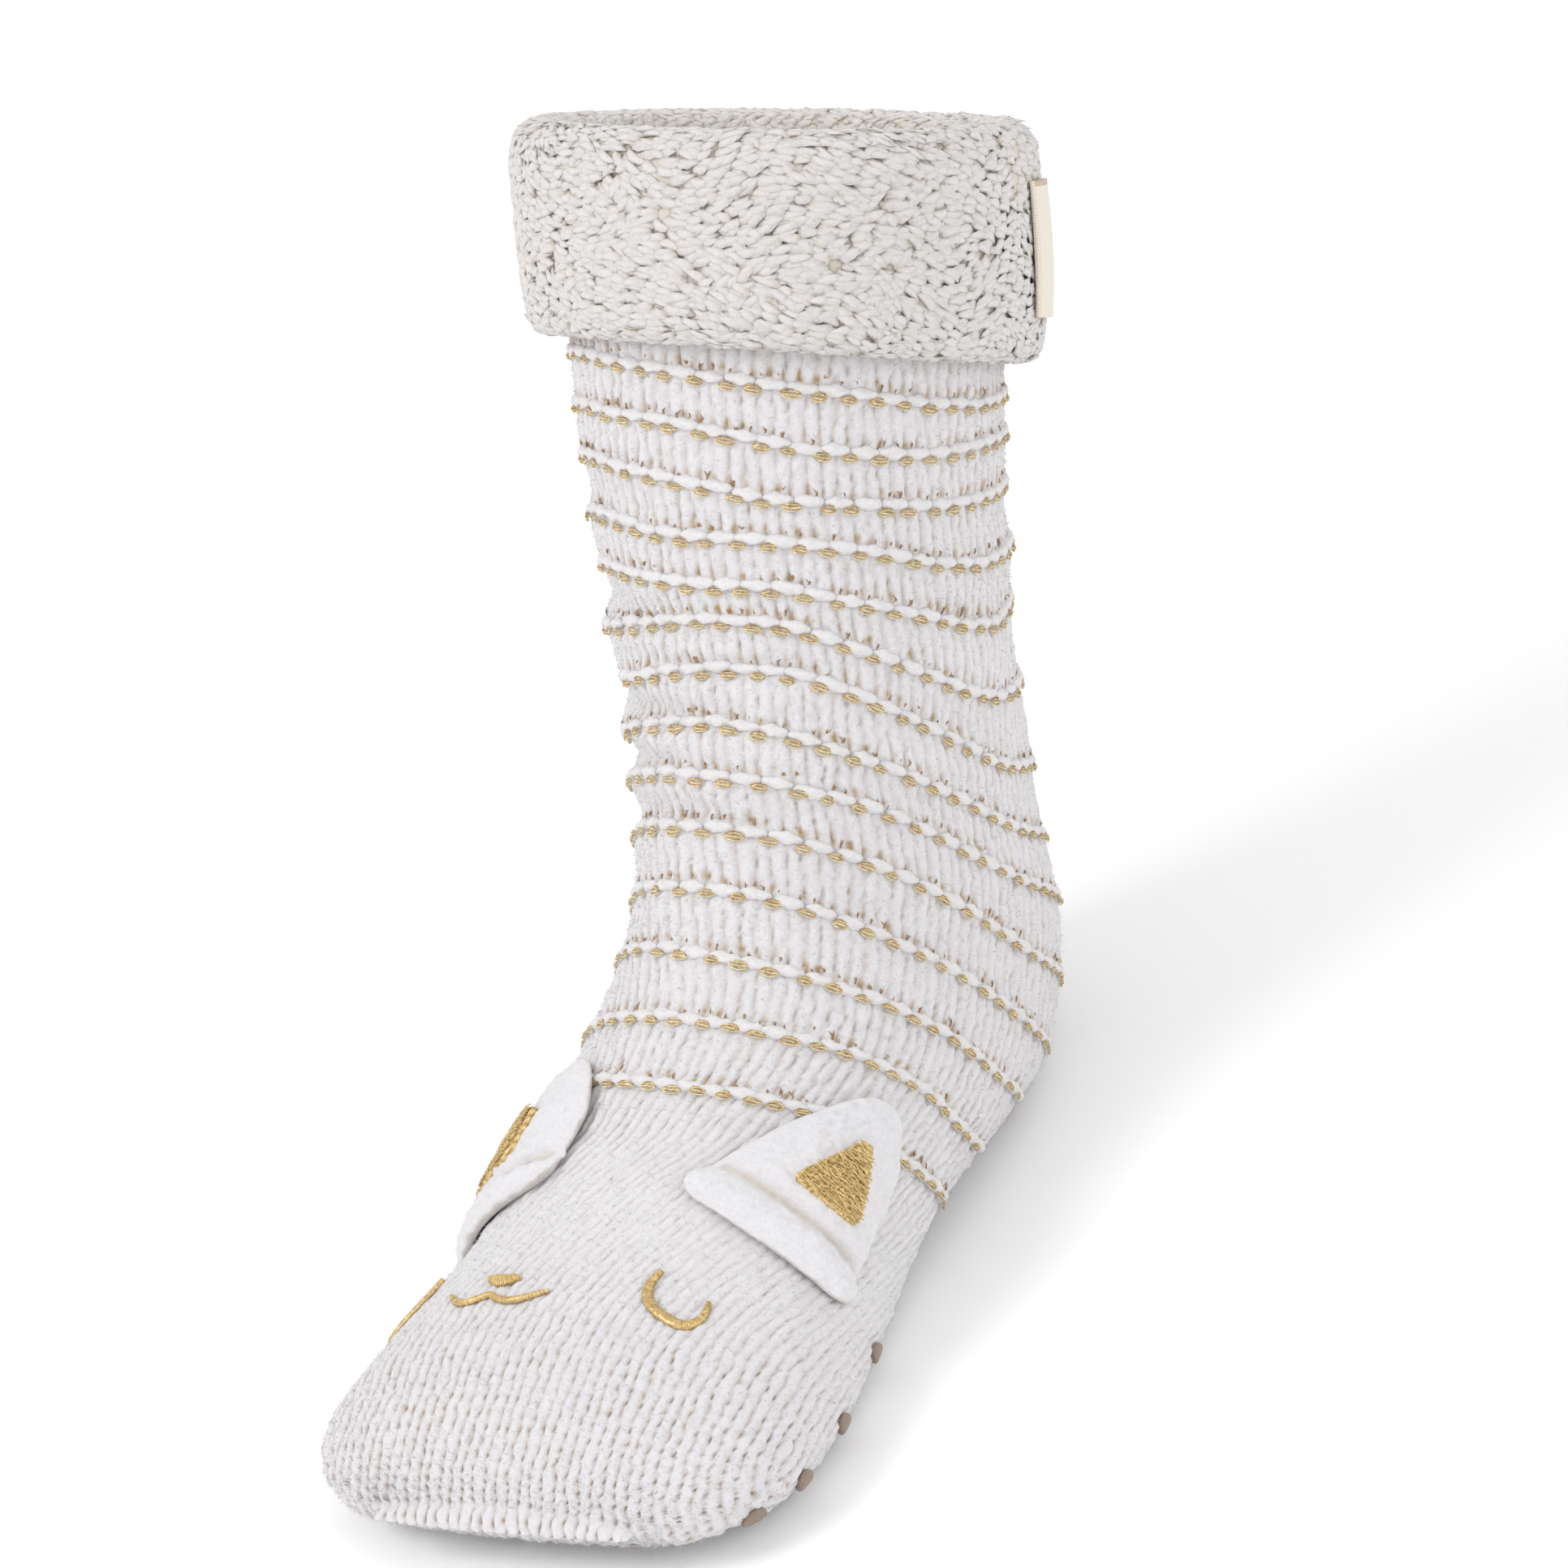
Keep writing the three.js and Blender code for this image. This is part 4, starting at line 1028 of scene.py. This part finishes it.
draw = np.random.default_rng(64)
for name, hand in (("ear_stitch_left", 1), ("ear_stitch_right", -1)):
    tall = np.repeat(np.linspace(0.3, 0.65, 26), 13)
    low = np.interp(tall, [0.3, 0.34, 0.44, 0.55, 0.65], [0.39, 0.38, 0.41, 0.45, 0.49])
    high = np.interp(tall, [0.3, 0.34, 0.44, 0.55, 0.65], [0.74, 0.75, 0.69, 0.61, 0.53])
    base = low + (high - low) * (np.tile(np.arange(13), 26) + draw.uniform(0, 1, 338)) / 13
    tall = tall + draw.normal(0, 0.006, 338)
    spot, ahead = ear_spot(base, tall), ear_spot(base + 0.02, tall + draw.normal(0, 0.003, 338))
    here = face_angle(spot[:, 0], hand, spot[:, 1])
    top = ear_gap + ear_thick + stitch_gap + stitch_thick - 0.0004
    points = lifted(spot[:, 0], here, np.full(338, top) + draw.uniform(0, 0.0003, 338))
    following = lifted(ahead[:, 0], face_angle(ahead[:, 0], hand, ahead[:, 1]), np.full(338, top))
    turns = facing(following - points, outward(spot[:, 0], here))
    sizes = np.stack([draw.uniform(0.0011, 0.0019, 338), np.full(338, 0.0004), np.full(338, 0.0004)], -1)
    glitter = spread(name + "_glitter", points, turns, sizes, draw.integers(0, 6, 338),
                     [stitch_shape(s) for s in range(6)], satin)
    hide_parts(name)
    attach(glitter, "root")


def satin_stroke(path, hand):
    """A raised band of satin stitch along rows of place, degrees and width, as points and faces."""
    path = np.array(path, float)
    count = 140
    t = np.linspace(0, len(path) - 1, count)
    i = np.clip(t.astype(int), 0, len(path) - 2)
    f = (t - i)[:, None]
    padded_path = np.concatenate([[2 * path[0] - path[1]], path, [2 * path[-1] - path[-2]]])
    a, b, c, d = (padded_path[i + k] for k in range(4))
    line = 0.5 * (2 * b + (c - a) * f + (2 * a - 5 * b + 4 * c - d) * f * f + (3 * b - a - 3 * c + d) * f ** 3)
    angle = face_angle(line[:, 0], hand, line[:, 1])
    centre = lifted(line[:, 0], angle, np.full(count, 0.0001))
    normal = outward(line[:, 0], angle)
    ahead = unit(np.gradient(centre, axis=0))
    side = unit(np.cross(ahead, normal))
    length = np.concatenate([[0], np.cumsum(np.linalg.norm(np.diff(centre, axis=0), axis=1))])
    twill = np.sin(2 * np.pi * length / satin_pitch)
    half = line[:, 2] * 0.0005 * (1 + 0.07 * twill)
    arc = np.linspace(0, np.pi, 7)
    lift = stitch_thick * (1 + 0.14 * twill) * np.clip(half / 0.0006, 0.5, 1.1)
    rings = (centre[:, None] + side[:, None] * (half[:, None] * -np.cos(arc))[..., None]
             + normal[:, None] * (lift[:, None] * np.sin(arc) ** 0.7)[..., None])
    faces = [tuple(f) for f in tube_faces(count, 7)]
    points = np.concatenate([rings.reshape(-1, 3), [centre[0], centre[-1]]])
    for spot in range(7):
        beside = (spot + 1) % 7
        faces.append((len(points) - 2, spot, beside))
        faces.append((len(points) - 1, (count - 1) * 7 + beside, (count - 1) * 7 + spot))
    # Painted highlight and shade: the raised tops of the satin threads are mixed light and the grooves between them
    # dark.
    tips = np.concatenate([np.repeat(0.5 - 0.5 * twill, 7), [0.5, 0.5]])
    return points, faces, tips


eye_path = [(10.53, 35.3, 1.3), (10.68, 35.5, 2), (10.82, 37.5, 2.3), (10.94, 41.6, 2.3), (11.02, 47, 2.3),
            (11.02, 51, 2.2), (10.9, 53.5, 1.8), (10.74, 52.5, 1.2)]
mouth_path = [(10.85, -15, 0.9), (10.93, -11, 1.5), (10.97, -7, 1.6), (10.94, -3, 1.5), (10.9, 0, 1.4),
              (10.94, 3, 1.5), (10.97, 7, 1.6), (10.93, 11, 1.5), (10.85, 15, 0.9)]
nose_path = [(10.72, -5, 0.8), (10.72, -3.2, 2.2), (10.74, 0, 3.1), (10.72, 3.2, 2.2), (10.72, 5, 0.8)]
for name, path, hand in (("eye_left", eye_path, 1), ("eye_right", eye_path, -1), ("mouth", mouth_path, 1),
                         ("nose", nose_path, 1)):
    points, faces, tips = satin_stroke(path, hand)
    if hand < 0:
        faces = [f[::-1] for f in faces]
    mark = new_piece(name + "_satin", points, faces, satin)
    mark.data.attributes.new("tip", "FLOAT", "POINT").data.foreach_set("value", tips.astype(np.float32))
    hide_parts(name)
    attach(mark, "root")

# Gripper dots. Low round studs of silicone printed on the sole and set hard, taupe brown and satin.
silicone, tree = new_material("taupe_silicone")
where = node(tree, "ShaderNodeTexCoord").outputs["Object"]
speck = node(tree, "ShaderNodeTexNoise", Vector=where, Scale=900.0, Detail=2.0).outputs["Fac"]
colour = node(tree, "ShaderNodeMix", {"data_type": "RGBA"}, _0=speck, _6=linear("#7d6b5d"),
              _7=linear("#94816f")).outputs[2]
bump = node(tree, "ShaderNodeBump", Strength=0.15, Distance=0.0001, Height=speck).outputs[0]
finish_material(tree, node(tree, "ShaderNodeBsdfPrincipled", Base_Color=colour, Roughness=0.42, Normal=bump))
dot_radius = 0.0026
dot_gap = 0.0003
dot_thick = 0.0008
dot_rows = [(0.12, (-9, 9)), (heel_back / foot_length, (-18, 0, 18)), (0.26, (-27, -9, 9, 27)),
            (0.62, (-27, -9, 9, 27)), (0.69, (-36, -18, 0, 18, 36)), (0.76, (-27, -9, 9, 27)),
            (0.83, (-36, -18, 0, 18, 36)), (0.9, (-27, -9, 9, 27))]
edge_dots = [(10.3, 105, 118), (11.05, 104, 104), (11.8, 104, 104), (12.55, 106, 106), (13.45, 140, 140)]


def halving(low, high, too_low):
    for _ in range(30):
        centre = (low + high) / 2
        low, high = (centre, high) if too_low(centre) else (low, centre)
    return (low + high) / 2


dot_spots = []
for run, asides in dot_rows:
    place = halving(5, toe_end, lambda trial: along(trial)[2] < run)
    for aside in asides:
        dot_spots.append((place, halving(math.pi / 2, math.pi * 1.5,
                                         lambda trial: skin(place, trial)[0] > aside * 0.001)))
for place, left, right in edge_dots:
    dot_spots += [(place, math.radians(left)), (place, -math.radians(right))]
parts = []
turns = np.arange(20) / 20 * 2 * np.pi
levels = [(1.0, 0.0), (1.02, 0.4), (0.95, 0.75), (0.8, 0.95), (0.5, 1.0)]
for place, angle in dot_spots:
    per_place = np.linalg.norm(skin(place + 0.05, angle) - skin(place - 0.05, angle)) / 0.1
    per_angle = np.linalg.norm(skin(place, angle + 0.03) - skin(place, angle - 0.03)) / 0.06
    rings = [lifted(place + dot_radius * size * np.cos(turns) / per_place,
                    angle + dot_radius * size * np.sin(turns) / per_angle,
                    np.full(20, dot_gap * (lift > 0) + dot_thick * lift)) for size, lift in levels]
    faces = [tuple(f) for f in tube_faces(len(levels), 20)]
    faces.append(tuple(range(20)))
    faces.append(tuple(range(len(levels) * 20 - 1, (len(levels) - 1) * 20 - 1, -1)))
    parts.append((np.concatenate(rings), faces, 0))
points, faces, _ = joined(parts)
dots = new_piece("gripper_dots", points, faces, silicone)
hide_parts(*[f"grip_{number + 1:02d}" for number in range(len(dot_spots))])
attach(dots, "root")
